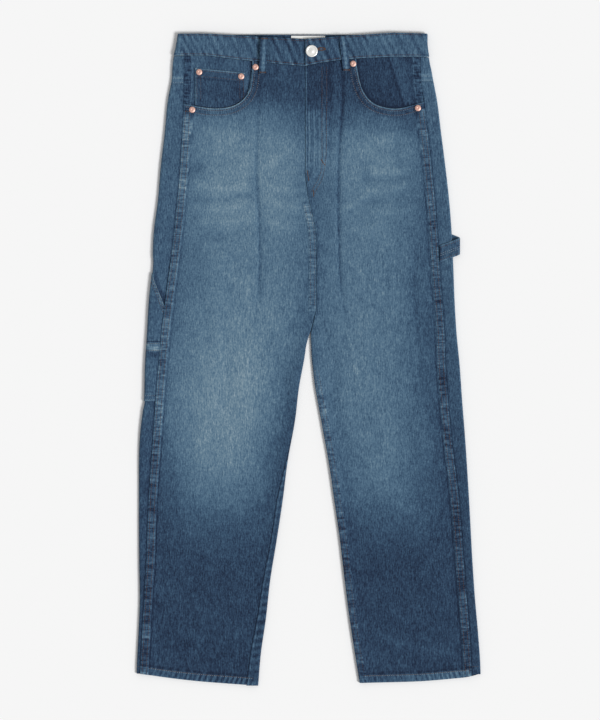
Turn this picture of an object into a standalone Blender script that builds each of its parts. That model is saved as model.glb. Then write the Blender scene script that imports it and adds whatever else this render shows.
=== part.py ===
"""Carpenter jeans lying flat on their back, front up.

Sizes are in millimetres and become metres when a mesh is made. "Drop" is the distance below the top
of the waist, "out" is the distance from the middle line towards the side seam of a leg, and heights
are measured from the surface the jeans lie on. Right and left are the wearer's, so the right leg
lies at -X. Each leg is a closed tube that is pressed nearly flat: its section runs from the outseam
on the front, round the outer fold, along the underside and round the inner fold to the inseam.
"""
import math

import bmesh
import bpy
import numpy as np

MM = 0.001

# Driving dimensions.
LENGTH = 978.8
CLOTH = 1.1
GAP = 0.3
LAYER = CLOTH + GAP
SEAM = GAP / 2
BAND_GAP = 0.5
INSEAM_GAP = 0.25
BAND_CLOTH = 2.4
BAND_UNDER = 1.6
BAND_TOP_HEIGHT = 8.3
LAP_LIFT = BAND_CLOTH + GAP
FELL_WIDTH = 11.0
FELL_LIFT = 0.6
HEM_WIDTH = 12.0
HEM_LIFT = 0.6
CROTCH_DROP = 450.0
CROTCH_BLEND = 25.0
FLY_LIFT = 0.9
FLY_DIP = 0.6
FLY_WIDTH = 31.0
FLY_END = 210.0
FLY_CLOSE = 240.0
FACING_UNDERLAP = 10.0
FACING_DIP = 1.6
LOOP_WIDTH = 11.0
LOOP_CLOTH = 1.5
LOOP_TAIL = 18.0
BUTTON_RADIUS = 9.0
RIVET_RADIUS = 4.6
FOLD_STEPS = 6

OUTWARD = {"right": -1.0, "left": 1.0}
BLUE = (0.055, 0.100, 0.160)
DARK_BLUE = (0.030, 0.055, 0.100)

# Out to the side fold and to the outseam, at each drop.
SIDE_COLUMNS = ("drop", "right_outer", "right_seam", "left_outer", "left_seam")
SIDE_TABLE = (
    (0, 195.8, 186.0, 178.5, 168.0),
    (20, 199.0, 186.0, 178.8, 168.0),
    (40, 203.6, 186.0, 181.8, 167.7),
    (70, 205.2, 186.5, 186.8, 168.3),
    (100, 210.8, 187.0, 192.5, 172.8),
    (150, 215.7, 189.3, 198.8, 178.9),
    (200, 221.6, 192.3, 205.2, 184.5),
    (250, 225.8, 196.7, 210.8, 189.3),
    (300, 232.2, 201.8, 214.7, 193.4),
    (350, 234.5, 207.8, 217.1, 196.4),
    (400, 239.4, 214.7, 219.0, 200.4),
    (450, 242.3, 220.5, 222.0, 203.9),
    (500, 245.4, 225.2, 226.8, 205.5),
    (550, 246.8, 229.2, 230.3, 209.3),
    (600, 252.5, 232.8, 234.3, 214.0),
    (700, 254.3, 239.9, 240.8, 225.5),
    (800, 253.8, 243.6, 246.3, 233.4),
    (850, 253.1, 246.8, 249.8, 237.5),
    (900, 255.0, 249.6, 254.3, 241.4),
    (960, 257.7, 252.4, 258.0, 244.5),
    (980, 257.7, 252.4, 258.0, 244.5),
)

# Across to the inner fold of each leg below the crotch, positive towards the left leg.
INNER_COLUMNS = ("drop", "right", "left")
INNER_TABLE = (
    (450, 2.2, 2.6),
    (466, -2.5, 3.3),
    (490, -6.5, 4.9),
    (530, -14.0, 10.0),
    (580, -20.0, 18.8),
    (640, -30.8, 29.7),
    (700, -38.5, 38.6),
    (760, -47.5, 47.1),
    (820, -57.3, 54.2),
    (880, -64.0, 61.9),
    (930, -71.3, 69.6),
    (980, -75.5, 77.5),
)

# Across to the edges that meet at the middle of the front. The right edge runs on under the fly.
CENTRE_COLUMNS = ("drop", "right", "left")
CENTRE_TABLE = (
    (30, 5.5, -4.5),
    (210, 5.5, -4.5),
    (224, -3.3, -3.3),
    (240, -1.7, -1.7),
    (262, 3.6, 3.6),
    (297, 11.0, 11.0),
    (335, 12.0, 12.0),
    (415, 11.6, 11.6),
    (436, 6.5, 6.5),
    (450, 2.4, 2.4),
)

# How far the back panel turns round the inner fold to the inseam, in degrees from the underside,
# and how far it then runs on over the front.
TURN_COLUMNS = ("drop", "right", "right_run", "left", "left_run")
TURN_TABLE = (
    (425, 0, 0.0, 0, 0.0),
    (450, 80, 0.0, 80, 0.0),
    (466, 95, 0.0, 95, 0.0),
    (530, 108, 0.0, 112, 0.0),
    (580, 118, 0.0, 118, 0.0),
    (640, 170, 0.0, 118, 0.0),
    (660, 180, 2.5, 118, 0.0),
    (700, 180, 7.0, 118, 0.0),
    (760, 180, 6.6, 118, 0.0),
    (820, 180, 8.5, 118, 0.0),
    (880, 180, 11.5, 118, 0.0),
    (930, 180, 13.5, 118, 0.0),
    (980, 180, 15.5, 118, 0.0),
)

# Height of the upper face of the front: along its middle, at the outer folds and at the inner folds.
HEIGHT_COLUMNS = ("drop", "middle", "right_outer", "left_outer", "inner")
HEIGHT_TABLE = (
    (30, 7.1, 6.1, 6.1, 7.1),
    (60, 6.1, 6.0, 6.0, 6.1),
    (140, 5.6, 5.9, 5.9, 5.6),
    (240, 5.2, 5.9, 5.9, 5.2),
    (290, 4.8, 6.0, 5.9, 4.8),
    (335, 4.2, 6.6, 5.9, 4.2),
    (380, 3.8, 6.6, 5.8, 3.8),
    (425, 3.6, 6.6, 5.7, 3.6),
    (450, 3.6, 6.6, 5.6, 4.6),
    (490, 3.5, 6.6, 5.5, 5.2),
    (560, 3.4, 6.6, 5.4, 5.2),
    (600, 3.3, 5.6, 5.4, 5.2),
    (900, 3.3, 5.2, 5.2, 5.0),
    (980, 3.7, 5.0, 5.0, 5.0),
)

# The main crease down each leg: its place and its depth.
CREASE_COLUMNS = ("drop", "right", "right_depth", "left", "left_depth")
CREASE_TABLE = (
    (40, 70.0, 0.0, 50.0, 0.2),
    (75, 72.0, 0.2, 51.8, 0.7),
    (190, 78.0, 0.5, 45.8, 0.8),
    (310, 73.0, 0.8, 45.8, 0.8),
    (380, 74.0, 0.5, 48.8, 0.5),
    (430, 80.0, 0.0, 56.0, 0.0),
    (600, 112.0, 0.0, 92.0, 0.0),
    (800, 144.0, 0.0, 132.0, 0.0),
    (980, 164.0, 0.0, 164.0, 0.0),
)

# Drop of the band's top and lower edges across the front.
BAND_COLUMNS = ("across", "top", "low")
BAND_TABLE = (
    (-205, 1.5, 34.2),
    (-150, 1.5, 34.2),
    (-107, 4.2, 40.0),
    (-72, 6.3, 43.2),
    (-40, 7.6, 47.0),
    (-6, 9.6, 50.0),
    (17, 8.3, 45.0),
    (50, 5.0, 40.5),
    (82, 3.0, 37.8),
    (127, 0.0, 36.0),
    (182, 1.5, 36.0),
)
BACK_BAND_TOP = 3.0
BACK_BAND_LOW = 40.0

# The curved mouth of each front pocket, from the band to the outseam.
SCOOP_COLUMNS = ("step", "right_out", "right_drop", "left_out", "left_drop")
SCOOP_TABLE = (
    (0.00, 84.0, 42.6, 71.3, 39.2),
    (0.15, 84.2, 58.5, 73.5, 58.0),
    (0.30, 86.2, 77.0, 77.5, 76.0),
    (0.42, 90.0, 89.5, 82.5, 89.0),
    (0.55, 101.0, 103.0, 93.0, 102.5),
    (0.70, 120.0, 111.8, 110.0, 111.0),
    (0.85, 148.0, 113.3, 136.0, 113.6),
    (1.00, 186.8, 106.8, 171.8, 104.0),
)

# Drop of the hem at each distance out.
HEM_COLUMNS = ("out", "right", "left")
HEM_TABLE = (
    (70, 979.0, 974.7),
    (120, 975.5, 973.6),
    (168, 971.7, 972.0),
    (215, 966.2, 968.2),
    (236, 963.2, 966.0),
    (258, 960.3, 961.0),
)

# Yoke seam: drop at the sides and at the centre of the back.
YOKE_SIDE_DROP = {"right": 77.0, "left": 73.5}
YOKE_CENTRE_DROP = 105.0

# Back pocket outline on the underside: out and drop of its corners.
BACK_POCKET_COLUMNS = ("out", "drop")
BACK_POCKET_TABLE = (
    (40, 128),
    (176, 124),
    (172, 262),
    (107, 284),
    (44, 264),
)

# Ruler pocket on the right leg.
TOOL_REACH = 75.0
TOOL_MOUTH_SEAM_DROP = 409.5
TOOL_MOUTH_EDGE_DROP = 360.0
TOOL_MOUTH_BACK_DROP = 346.0
TOOL_SPLIT_DROP = 462.0
TOOL_END_DROP = 552.0
TOOL_PROUD = 0.4

# Hammer loop on the left leg.
HAMMER_WIDTH = 25.0
HAMMER_SEAM_DROP = 319.0
HAMMER_BACK_DROP = 292.0
HAMMER_BOW = 9.3
HAMMER_BOW_START = 2.0
HAMMER_TAIL = 28.0

# Coin pocket on the right facing.
COIN_OUT = (95.0, 169.5)
COIN_DROP = (60.5, 53.3)

BUTTON_PLACE = (4.8, 28.0)
RIVET_COLUMNS = ("across", "drop", "on_coin_pocket")
RIVET_TABLE = (
    (-163.8, 59.2, True),
    (-100.8, 65.6, True),
    (-174.3, 115.5, False),
    (-79.4, 51.6, False),
    (66.9, 46.6, False),
    (164.0, 113.0, False),
)
FRONT_LOOP_COLUMNS = ("side", "top_across", "low_across")
FRONT_LOOP_TABLE = (
    ("right", -66.0, -68.4),
    ("left", 51.2, 57.4),
)
BACK_LOOP_ACROSS = {"side_right": -98.0, "back": 1.0, "side_left": 98.0}
LABEL_ACROSS = (-26.0, 25.0)
LABEL_DROP = (4.6, 30.0)

LEG_ROWS = (
    300, 322, 348, 364, 380, 415, 436, 450, 466, 490,
    530, 552, 568, 600, 640, 700, 760, 820, 880, 930, 957, 958, 970,
)
FRONT_ROWS = (40, 56, 78, 104, 132, 160, 188, 210, 224, 240, 265) + LEG_ROWS
BACK_ROWS = (90, 104, 116, 150, 190, 230, 262, 284) + LEG_ROWS
BACK_SPREAD = (0.93, 0.66, 0.52, 0.30, 0.12)
SEAM_STEPS = (INSEAM_GAP, 0.75, 1.6, 2.8, 4.2, 6.0, 11.0, 12.5)
SCOOP_STEPS = (0.16, 0.34, 0.48, 0.62, 0.78)
TOP_FADE_DROP = 300.0


def table_curve(table, columns, name, at, smooth=True):
    """Read a named column of a table at any place, along a smooth curve or straight lines."""
    rows = np.array(table, dtype=float)
    knots = rows[:, 0]
    values = rows[:, columns.index(name)]
    at = np.clip(at, knots[0], knots[-1])
    if not smooth:
        return np.interp(at, knots, values)
    slopes = np.gradient(values, knots)
    i = np.clip(np.searchsorted(knots, at, side="right") - 1, 0, len(knots) - 2)
    span = knots[i + 1] - knots[i]
    t = (at - knots[i]) / span
    ease = t * t * (3 - 2 * t)
    swing_in = slopes[i] * span * t * (1 - t) ** 2
    swing_out = slopes[i + 1] * span * t * t * (1 - t)
    return values[i] * (1 - ease) + values[i + 1] * ease + swing_in - swing_out


def ease(t):
    """Rise smoothly from 0 to 1 as t goes from 0 to 1."""
    t = np.clip(t, 0.0, 1.0)
    return t * t * (3 - 2 * t)


def patch(value, low, high, ramp):
    """1 between low and high, easing to 0 over the ramp on both sides."""
    return ease((value - low + ramp) / ramp) * ease((high + ramp - value) / ramp)


def outer_edge(side, drop):
    return table_curve(SIDE_TABLE, SIDE_COLUMNS, side + "_outer", drop)


def out_seam(side, drop):
    return table_curve(SIDE_TABLE, SIDE_COLUMNS, side + "_seam", drop)


def inner_edge(side, drop, panel):
    """Out to the inner edge: the centre seam above the crotch and the inner fold below it."""
    below = table_curve(INNER_TABLE, INNER_COLUMNS, side, drop)
    if panel == "front":
        above = table_curve(CENTRE_TABLE, CENTRE_COLUMNS, side, drop, smooth=False)
    else:
        above = 1.0 + 1.4 * np.clip(drop / CROTCH_DROP, 0, 1)
    return OUTWARD[side] * np.where(drop < CROTCH_DROP, above, below)


def edge_height(name, drop):
    return table_curve(HEIGHT_TABLE, HEIGHT_COLUMNS, name, drop)


def hem_drop(side, out):
    return table_curve(HEM_TABLE, HEM_COLUMNS, side, out)


def band_edge(name, across):
    return table_curve(BAND_TABLE, BAND_COLUMNS, name, across, smooth=False)


def back_band_edge(side, name, share):
    """Drop of the band's edges across the back, at a share of the half width."""
    across = OUTWARD[side] * 200.0
    middle = BACK_BAND_TOP if name == "top" else BACK_BAND_LOW
    return float(band_edge(name, across) + (middle - band_edge(name, across)) * min((1 - share) / 0.34, 1))


def top_height(side, out, drop, hemmed=True):
    """Height of the front's upper face: low in the middle, rolled up at the folds, creased."""
    middle = edge_height("middle", drop)
    outer = edge_height(side + "_outer", drop)
    inner = edge_height("inner", drop)
    from_outer = np.clip(outer_edge(side, drop) - out - outer / 2, 0, None)
    from_inner = np.clip(out - inner_edge(side, drop, "front") - inner / 2, 0, None)
    height = middle + (outer - middle) * np.exp(-((from_outer / 16) ** 2))
    height = height + (inner - middle) * np.exp(-((from_inner / 14) ** 2))
    crease = table_curve(CREASE_TABLE, CREASE_COLUMNS, side, drop)
    depth = table_curve(CREASE_TABLE, CREASE_COLUMNS, side + "_depth", drop)
    height = height - depth * np.exp(-(((out - crease) / 3.5) ** 2))
    if side == "right":
        over_pocket = patch(outer_edge(side, drop) - out, 0, 100, 25) * patch(drop, 345, 560, 25)
        height = height + 1.0 * over_pocket * (1 - np.exp(-((from_outer / 16) ** 2)))
    if hemmed:
        inside = ease(from_outer / 4) * ease(from_inner / 4)
        height = height + HEM_LIFT * inside * ease((drop - hem_drop(side, out) + HEM_WIDTH + 0.3) / 0.9)
    return height


def inseam_turn(side, drop):
    """Angle, in radians, and run at which the back panel ends on the inner fold."""
    turn = np.radians(table_curve(TURN_TABLE, TURN_COLUMNS, side, drop, smooth=False))
    run = table_curve(TURN_TABLE, TURN_COLUMNS, side + "_run", drop, smooth=False)
    return turn, run


def round_edge(distance, radius, turn, run, drop):
    """Follow the cloth from its seam edge: over the run, round the fold, then along the flat.

    Gives the offset from the fold's outermost line and the rise from the face the fold starts at.
    """
    reach = np.where(drop < CROTCH_DROP, np.sin(np.minimum(turn, math.pi / 2)), 1.0)
    apart = np.where(drop < CROTCH_DROP + CROTCH_BLEND, INSEAM_GAP, 0.0)
    distance = distance - np.where(turn + run > 0, 0.0, apart)
    before = np.clip(run - distance, 0, None)
    angle = np.clip(turn - (distance - run) / radius, 0, turn)
    after = np.clip(distance - run - radius * turn, 0, None)
    return apart + radius * (reach - np.sin(angle)) + before + after, radius * (1 - np.cos(angle))


def scoop_point(side, step):
    out = table_curve(SCOOP_TABLE, SCOOP_COLUMNS, side + "_out", step)
    drop = table_curve(SCOOP_TABLE, SCOOP_COLUMNS, side + "_drop", step)
    return out, drop


def to_world(side, out, drop, height):
    """Stack out, drop and height into points, in millimetres from the middle of the jeans."""
    out, drop, height = np.broadcast_arrays(out, drop, height)
    return np.stack([OUTWARD[side] * out, LENGTH / 2 - drop, height], axis=-1)


def grid_normals(grid, facing):
    """Unit normals of a grid of points. The sign of facing picks the side they point to."""
    along = np.gradient(grid, axis=0)
    across = np.gradient(grid, axis=1)
    normals = facing * np.cross(across, along)
    return normals / np.linalg.norm(normals, axis=-1, keepdims=True)


def closed_wall(name, grid, facing, thickness, lift=0.0):
    """Make a sheet of cloth: an outer grid, an inner grid and the four rims between them."""
    normals = grid_normals(grid, facing)
    lift = np.broadcast_to(np.asarray(lift, dtype=float), grid.shape[:2])[..., None]
    outer = grid + normals * lift
    inner = grid - normals * thickness
    rows, cols = grid.shape[:2]
    index = np.arange(rows * cols).reshape(rows, cols)
    under = index + rows * cols
    faces = []
    for sheet, flip in ((index, False), (under, True)):
        quads = np.stack([sheet[:-1, :-1], sheet[:-1, 1:], sheet[1:, 1:], sheet[1:, :-1]], axis=-1)
        quads = quads.reshape(-1, 4)
        faces += (quads[:, ::-1] if flip else quads).tolist()
    loop = np.concatenate([index[0, :-1], index[:-1, -1], index[-1, :0:-1], index[:0:-1, 0]])
    for start, end in zip(loop, np.roll(loop, -1)):
        faces.append([int(end), int(start), int(start) + rows * cols, int(end) + rows * cols])
    points = np.concatenate([outer.reshape(-1, 3), inner.reshape(-1, 3)])
    return make_object(name, points, faces)


def make_object(name, points, faces):
    """Turn points in millimetres and faces into an object whose faces point outwards."""
    mesh = bpy.data.meshes.new(name)
    mesh.from_pydata((np.asarray(points) * MM).tolist(), [], faces)
    shape = bmesh.new()
    shape.from_mesh(mesh)
    bmesh.ops.recalc_face_normals(shape, faces=shape.faces)
    shape.to_mesh(mesh)
    shape.free()
    mesh.shade_smooth()
    mesh.set_sharp_from_angle(angle=math.radians(40))
    made = bpy.data.objects.new(name, mesh)
    bpy.context.scene.collection.objects.link(made)
    return made


def paint(made, title, colour, roughness, metallic=0.0):
    """Give an object its own Principled material."""
    material = bpy.data.materials.new(title)
    material.use_nodes = True
    shader = material.node_tree.nodes["Principled BSDF"]
    shader.inputs["Base Color"].default_value = (*colour, 1.0)
    shader.inputs["Roughness"].default_value = roughness
    shader.inputs["Metallic"].default_value = metallic
    made.data.materials.append(material)


def spread_rows(rows, first, last, fade_end):
    """Bend level rows so that the first follows the top edge and the last follows the hem."""
    level = np.array(rows, dtype=float)[:, None]
    top_share = np.clip((fade_end - level) / (fade_end - level[0]), 0, 1)
    hem_share = np.clip((level - 700) / (level[-1] - 700), 0, 1)
    return level + (first - level[0]) * top_share + (last - level[-1]) * hem_share


def front_columns(side, drop):
    """Out and height-loss of every front column at the drops of a grid that is one column wide."""
    turn, run = inseam_turn(side, drop)
    above = math.radians(98) * ease((drop - CROTCH_DROP + CROTCH_BLEND) / CROTCH_BLEND)
    front_turn = np.where(drop < CROTCH_DROP, above, math.pi - turn)
    radius = edge_height("inner", drop) / 2
    start = inner_edge(side, drop, "front")
    columns = []
    losses = []
    for step in SEAM_STEPS:
        offset, rise = round_edge(step, radius, front_turn, 0.0, drop)
        columns.append(start + offset + run)
        losses.append(rise)
    crease = table_curve(CREASE_TABLE, CREASE_COLUMNS, side, drop)
    seam = out_seam(side, drop)
    columns.append(columns[-1] + 0.6 * (crease - 5 - columns[-1]))
    columns += [crease - 5, crease, crease + 5]
    last = seam - 12.5
    for share in (0.15, 0.32, 0.49, 0.66, 0.83, 1.0):
        columns.append(crease + 5 + share * (last - crease - 5))
    columns += [seam - 11.9, seam - 0.75, seam - SEAM]
    losses += [np.zeros_like(drop)] * (len(columns) - len(losses))
    return columns, losses


def front_top_edge(side, plain):
    """Out and drop where each front column starts: along the band, then round the pocket mouth."""
    first_scoop = len(SEAM_STEPS) + 4
    steps = np.linspace(0, 1, 101)
    outs, drops = scoop_point(side, steps)
    top_out = plain.copy()
    scoop_steps = np.array((0.0,) + SCOOP_STEPS)
    top_out[first_scoop:first_scoop + 6], scoop_drop = scoop_point(side, scoop_steps)
    top_drop = band_edge("low", OUTWARD[side] * top_out) + BAND_GAP
    top_drop[first_scoop:first_scoop + 6] = scoop_drop
    rim = slice(first_scoop + 6, None)
    upper = steps > 0.5
    top_drop[rim] = np.interp(top_out[rim], outs[upper], drops[upper])
    return top_out, top_drop


def front_panel(side):
    """One front: from the centre seam and inseam to the outseam, cut away at the pocket mouth."""
    count = len(SEAM_STEPS) + 13
    guess = np.full((1, 1), 42.0)
    plain = np.array([c[0, 0] for c in front_columns(side, guess)[0]])
    rim = np.full((1, 1), scoop_point(side, 1.0)[1])
    lower = np.array([c[0, 0] for c in front_columns(side, rim)[0]])
    plain[-4:] = lower[-4:]
    top_out, top_drop = front_top_edge(side, plain)
    low_guess = np.array([c[0, 0] for c in front_columns(side, np.full((1, 1), 968.0))[0]])
    drop = spread_rows(FRONT_ROWS, top_drop[None, :], hem_drop(side, low_guess)[None, :], TOP_FADE_DROP)
    out = np.empty_like(drop)
    loss = np.empty_like(drop)
    start_shift = np.empty(count)
    for k in range(count):
        columns, losses = front_columns(side, drop[:, k:k + 1])
        out[:, k] = columns[k][:, 0]
        loss[:, k] = np.broadcast_to(losses[k], (len(FRONT_ROWS), 1))[:, 0]
        start_shift[k] = top_out[k] - out[0, k]
    level = np.array(FRONT_ROWS, dtype=float)[:, None]
    share = np.clip((TOP_FADE_DROP - level) / (TOP_FADE_DROP - level[0]), 0, 1) ** 2
    out = out + start_shift[None, :] * share
    height = top_height(side, out, drop) - loss + fly_shift(side, out, drop)
    grid = to_world(side, out, drop, height)
    made = closed_wall("front_panel_" + side, grid, -OUTWARD[side], CLOTH, front_fell(side, drop, out))
    paint(made, "washed denim front " + side, BLUE, 0.85)


def fly_shift(side, out, drop):
    """The left front is raised over the fly and the right front's edge passes under it."""
    closed = ease((FLY_CLOSE - drop) / 16)
    if side == "left":
        width = FLY_WIDTH * ease((FLY_CLOSE - drop) / 60)
        return FLY_LIFT * closed * ease((width - 4.5 - out + 6) / 6)
    return -FLY_DIP * closed * ease((7.5 - out) / 4)


def front_fell(side, drop, out):
    """Lift of the felled strips: along the outseam, the left inseam and the right front rise."""
    lift = np.zeros(drop.shape)
    lift[:, -2] = FELL_LIFT
    lift[:, -3] = FELL_LIFT
    strip = slice(1, SEAM_STEPS.index(FELL_WIDTH) + 1)
    rows = drop[:, strip]
    if side == "left":
        lift[:, strip] = FELL_LIFT * ease((rows - 500) / 30)
    else:
        lift[:, strip] = FELL_LIFT * patch(rows, 262, 410, 20)
    return lift


def underlay(side, out, drop, under):
    """How far the cloth of the back lies inside the outermost face, to leave room for what lies on it.

    under is 1 on the underside, falls to 0 at the outermost line of the fold and is 0 on the front.
    """
    edge = outer_edge(side, drop)
    flat = ease((edge - 6 - out) / 7) * (under == 1)
    depth = LAYER * flat * patch(out, 22, 215, 12) * patch(drop, 100, 288, 12)
    reach = edge - out
    if side == "right":
        return np.maximum(depth, LAYER * patch(reach, 0, 84, 26) * patch(drop, 346, 554, 14))
    return np.maximum(depth, LAYER * under * patch(reach, 0, 80, 20) * patch(drop, 284, 348, 16))


def back_section(side, drop_of, rise_of=None):
    """Points of the back's section from the outseam to the centre seam or inseam.

    drop_of gives the drops of a column from its distance out and whether it lies on top.
    """
    outs = []
    heights = []
    drops = []

    def add(out, height, drop):
        outs.append(out)
        heights.append(height)
        drops.append(drop)

    drop = drop_of(1.0, True)
    edge = outer_edge(side, drop)
    radius = edge_height(side + "_outer", drop) / 2
    seam = out_seam(side, drop)
    for share in (0.0, 0.5):
        out = seam + SEAM + share * (edge - radius - seam - SEAM)
        sunk = underlay(side, out, drop, 0.0)
        add(out, top_height(side, out, drop) - sunk + TOOL_PROUD * sunk / LAYER, drop)
    lift = rise_of(drop) if rise_of else 0.0
    for step in range(FOLD_STEPS + 1):
        angle = math.pi * step / FOLD_STEPS
        under = max(-math.cos(angle), 0.0)
        sunk = underlay(side, edge - radius * (1 - math.sin(angle)), drop, under)
        sunk = sunk + lift * step / FOLD_STEPS
        proud = TOOL_PROUD * sunk / LAYER * (1 + math.cos(angle)) / 2 if side == "right" else 0.0
        out = edge - radius + (radius - sunk) * math.sin(angle)
        add(out, radius + (radius - sunk) * math.cos(angle) + proud, drop)
    return outs, heights, drops, add


def back_panel(side):
    """One back: from the outseam on the front, round the outer fold, to the centre seam and inseam."""
    rows = len(BACK_ROWS)
    level = np.array(BACK_ROWS, dtype=float)[:, None]
    side_drop = YOKE_SIDE_DROP[side]

    def drops_at(share, on_top):
        """Drops down a column whose distance out is a share of the half width."""
        first = side_drop if on_top else side_drop + (YOKE_CENTRE_DROP - side_drop) * (1 - share)
        out = 76 + share * 180
        last = hem_drop(side, np.array([[out]]))
        return spread_rows(BACK_ROWS, first + SEAM, last, TOP_FADE_DROP)

    outs, heights, drops, add = back_section(side, drops_at)
    for share in BACK_SPREAD:
        drop = drops_at(share, False)
        start = inner_edge(side, drop, "back")
        out = start + share * (outer_edge(side, drop) - start)
        add(out, underlay(side, out, drop, 1.0), drop)
    drop = drops_at(0.0, False)
    turn, run = inseam_turn(side, drop)
    radius = edge_height("inner", drop) / 2
    length = run + radius * turn
    for share in (1.0, 0.8, 0.62, 0.46, 0.3, 0.15, 0.05, 0.0):
        distance = INSEAM_GAP + share * np.maximum(length, 4.0)
        offset, rise = round_edge(distance, radius, turn, run, drop)
        out = inner_edge(side, drop, "back") + offset
        on_front = (distance < run) & (turn > 3.1)
        height = np.where(on_front, top_height(side, out, drop), rise)
        add(out, height, drop)
    shape = (rows, len(outs))
    out = np.concatenate([np.broadcast_to(c, (rows, 1)) for c in outs], axis=1).reshape(shape)
    height = np.concatenate([np.broadcast_to(c, (rows, 1)) for c in heights], axis=1)
    drop = np.concatenate([np.broadcast_to(c, (rows, 1)) for c in drops], axis=1)
    grid = to_world(side, out, drop, height)
    made = closed_wall("back_panel_" + side, grid, -OUTWARD[side], CLOTH)
    paint(made, "washed denim back " + side, BLUE, 0.85)
    return level


def yoke(side):
    """The yoke between the band and the back panel, wrapped round the side to the outseam."""
    steps = np.array([0.0, 0.25, 0.6, 1.0])[:, None]

    def drops_at(share, on_top):
        low = YOKE_SIDE_DROP[side] if on_top else None
        if low is None:
            low = YOKE_SIDE_DROP[side] + (YOKE_CENTRE_DROP - YOKE_SIDE_DROP[side]) * (1 - share)
        top = back_band_edge(side, "low", share) + (0.9 if share == 1.0 else BAND_GAP)
        return top + steps * (low - SEAM - top)

    def rise(drop):
        return BAND_UNDER * (1 - ease((steps - 0.25) / 0.35))

    outs, heights, drops, add = back_section(side, drops_at, rise)
    for share in BACK_SPREAD + (0.0,):
        drop = drops_at(share, False)
        start = inner_edge(side, drop, "back") + SEAM
        out = start + share * (outer_edge(side, drop) - start)
        add(out, rise(drop), drop)
    out = np.concatenate(outs, axis=1)
    height = np.concatenate([np.broadcast_to(h, (4, 1)) for h in heights], axis=1)
    drop = np.concatenate(drops, axis=1)
    made = closed_wall("yoke_" + side, to_world(side, out, drop, height), -OUTWARD[side], CLOTH)
    paint(made, "washed denim yoke " + side, BLUE, 0.85)


def scoop_distance(side, out, drop):
    """Distance from the pocket mouth, positive on the facing's visible side."""
    steps = np.linspace(0, 1, 121)
    outs, drops = scoop_point(side, steps)
    gaps = np.hypot(out[..., None] - outs, drop[..., None] - drops)
    nearest = np.argmin(gaps, axis=-1)
    tangent_out = np.gradient(outs)[nearest]
    tangent_drop = np.gradient(drops)[nearest]
    side_of = tangent_out * (drop - drops[nearest]) - tangent_drop * (out - outs[nearest])
    return -np.sign(side_of) * np.min(gaps, axis=-1)


def facing_height(side, out, drop):
    """The facing dips under the pocket mouth and lies level with the front beyond it."""
    shown = ease((scoop_distance(side, out, drop) - 1) / 22)
    return top_height(side, out, drop) - FACING_DIP + (FACING_DIP - 0.3) * shown


def pocket_facing(side):
    """Facing behind the pocket mouth: a patch between four curved sides."""
    steps = np.linspace(0, 1, 9)
    edge_steps = np.linspace(0, 1, 61)
    outs, drops = scoop_point(side, edge_steps)
    normal = np.stack([-np.gradient(drops), np.gradient(outs)])
    normal = normal / np.linalg.norm(normal, axis=0)
    lower = np.stack([outs, drops]) + FACING_UNDERLAP * normal
    lower[1, 0] = band_edge("low", OUTWARD[side] * lower[0, 0]) + BAND_GAP
    middle = 36
    seam_end = min(drops[-1] + FACING_UNDERLAP, lower[1, -1])

    def along(points, share):
        place = share * (points.shape[1] - 1)
        spots = np.arange(points.shape[1])
        return np.stack([np.interp(place, spots, row) for row in points])

    seam_drop = np.linspace(band_edge("low", OUTWARD[side] * 186.0) + BAND_GAP, seam_end, 9)
    seam = np.stack([out_seam(side, seam_drop) - SEAM, seam_drop])
    lower[:, -1] = seam[:, -1]
    top_out = np.linspace(seam[0, 0], lower[0, 0], 9)
    top = np.stack([top_out, band_edge("low", OUTWARD[side] * top_out) + BAND_GAP])
    across = along(lower[:, middle:][:, ::-1], steps)
    down = along(lower[:, :middle + 1], steps)
    s = steps[None, None, :]
    v = steps[None, :, None]
    blend = (1 - v) * top[:, None, :] + v * across[:, None, :]
    blend = blend + (1 - s) * seam[:, :, None] + s * down[:, :, None]
    corners = (1 - s) * (1 - v) * top[:, 0, None, None] + s * (1 - v) * top[:, -1, None, None]
    corners = corners + (1 - s) * v * across[:, 0, None, None] + s * v * across[:, -1, None, None]
    out, drop = blend - corners
    grid = to_world(side, out, drop, facing_height(side, out, drop))
    made = closed_wall("pocket_facing_" + side, grid, OUTWARD[side], CLOTH)
    paint(made, "dark denim facing " + side, DARK_BLUE, 0.85)


def coin_pocket():
    """Small pocket on the right facing, made from the facing's points moved out."""
    side = "right"
    share = np.linspace(0, 1, 9)[None, :]
    out = COIN_OUT[0] + (COIN_OUT[1] - COIN_OUT[0]) * share
    steps = np.linspace(0, 1, 121)
    outs, drops = scoop_point(side, steps)
    low = np.interp(out, outs, drops) - 1.6 - 2.0 * (1 - share) ** 6
    top = COIN_DROP[0] + (COIN_DROP[1] - COIN_DROP[0]) * share
    rows = np.array([0, 0.06, 0.3, 0.55, 0.8, 1.0])[:, None]
    drop = top + rows * (low - top)
    out = np.broadcast_to(out, drop.shape)
    height = facing_height(side, out, drop) + 0.45 + CLOTH
    made = closed_wall("coin_pocket", to_world(side, out, drop, height), -OUTWARD[side], CLOTH)
    paint(made, "dark denim coin pocket", DARK_BLUE, 0.85)


def back_pocket(side):
    """Patch pocket on the underside, flat on the surface, with a pointed lower edge."""
    points = np.array(BACK_POCKET_TABLE, dtype=float)
    ring = to_world(side, points[:, 0], points[:, 1], 0.0)
    top = ring + np.array([0, 0, CLOTH])
    count = len(ring)
    faces = [list(range(count)), list(range(count, 2 * count))[::-1]]
    for k in range(count):
        after = (k + 1) % count
        faces.append([k, after, after + count, k + count])
    made = make_object("back_pocket_" + side, np.concatenate([ring, top]), faces)
    paint(made, "washed denim back pocket " + side, BLUE, 0.85)


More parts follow.
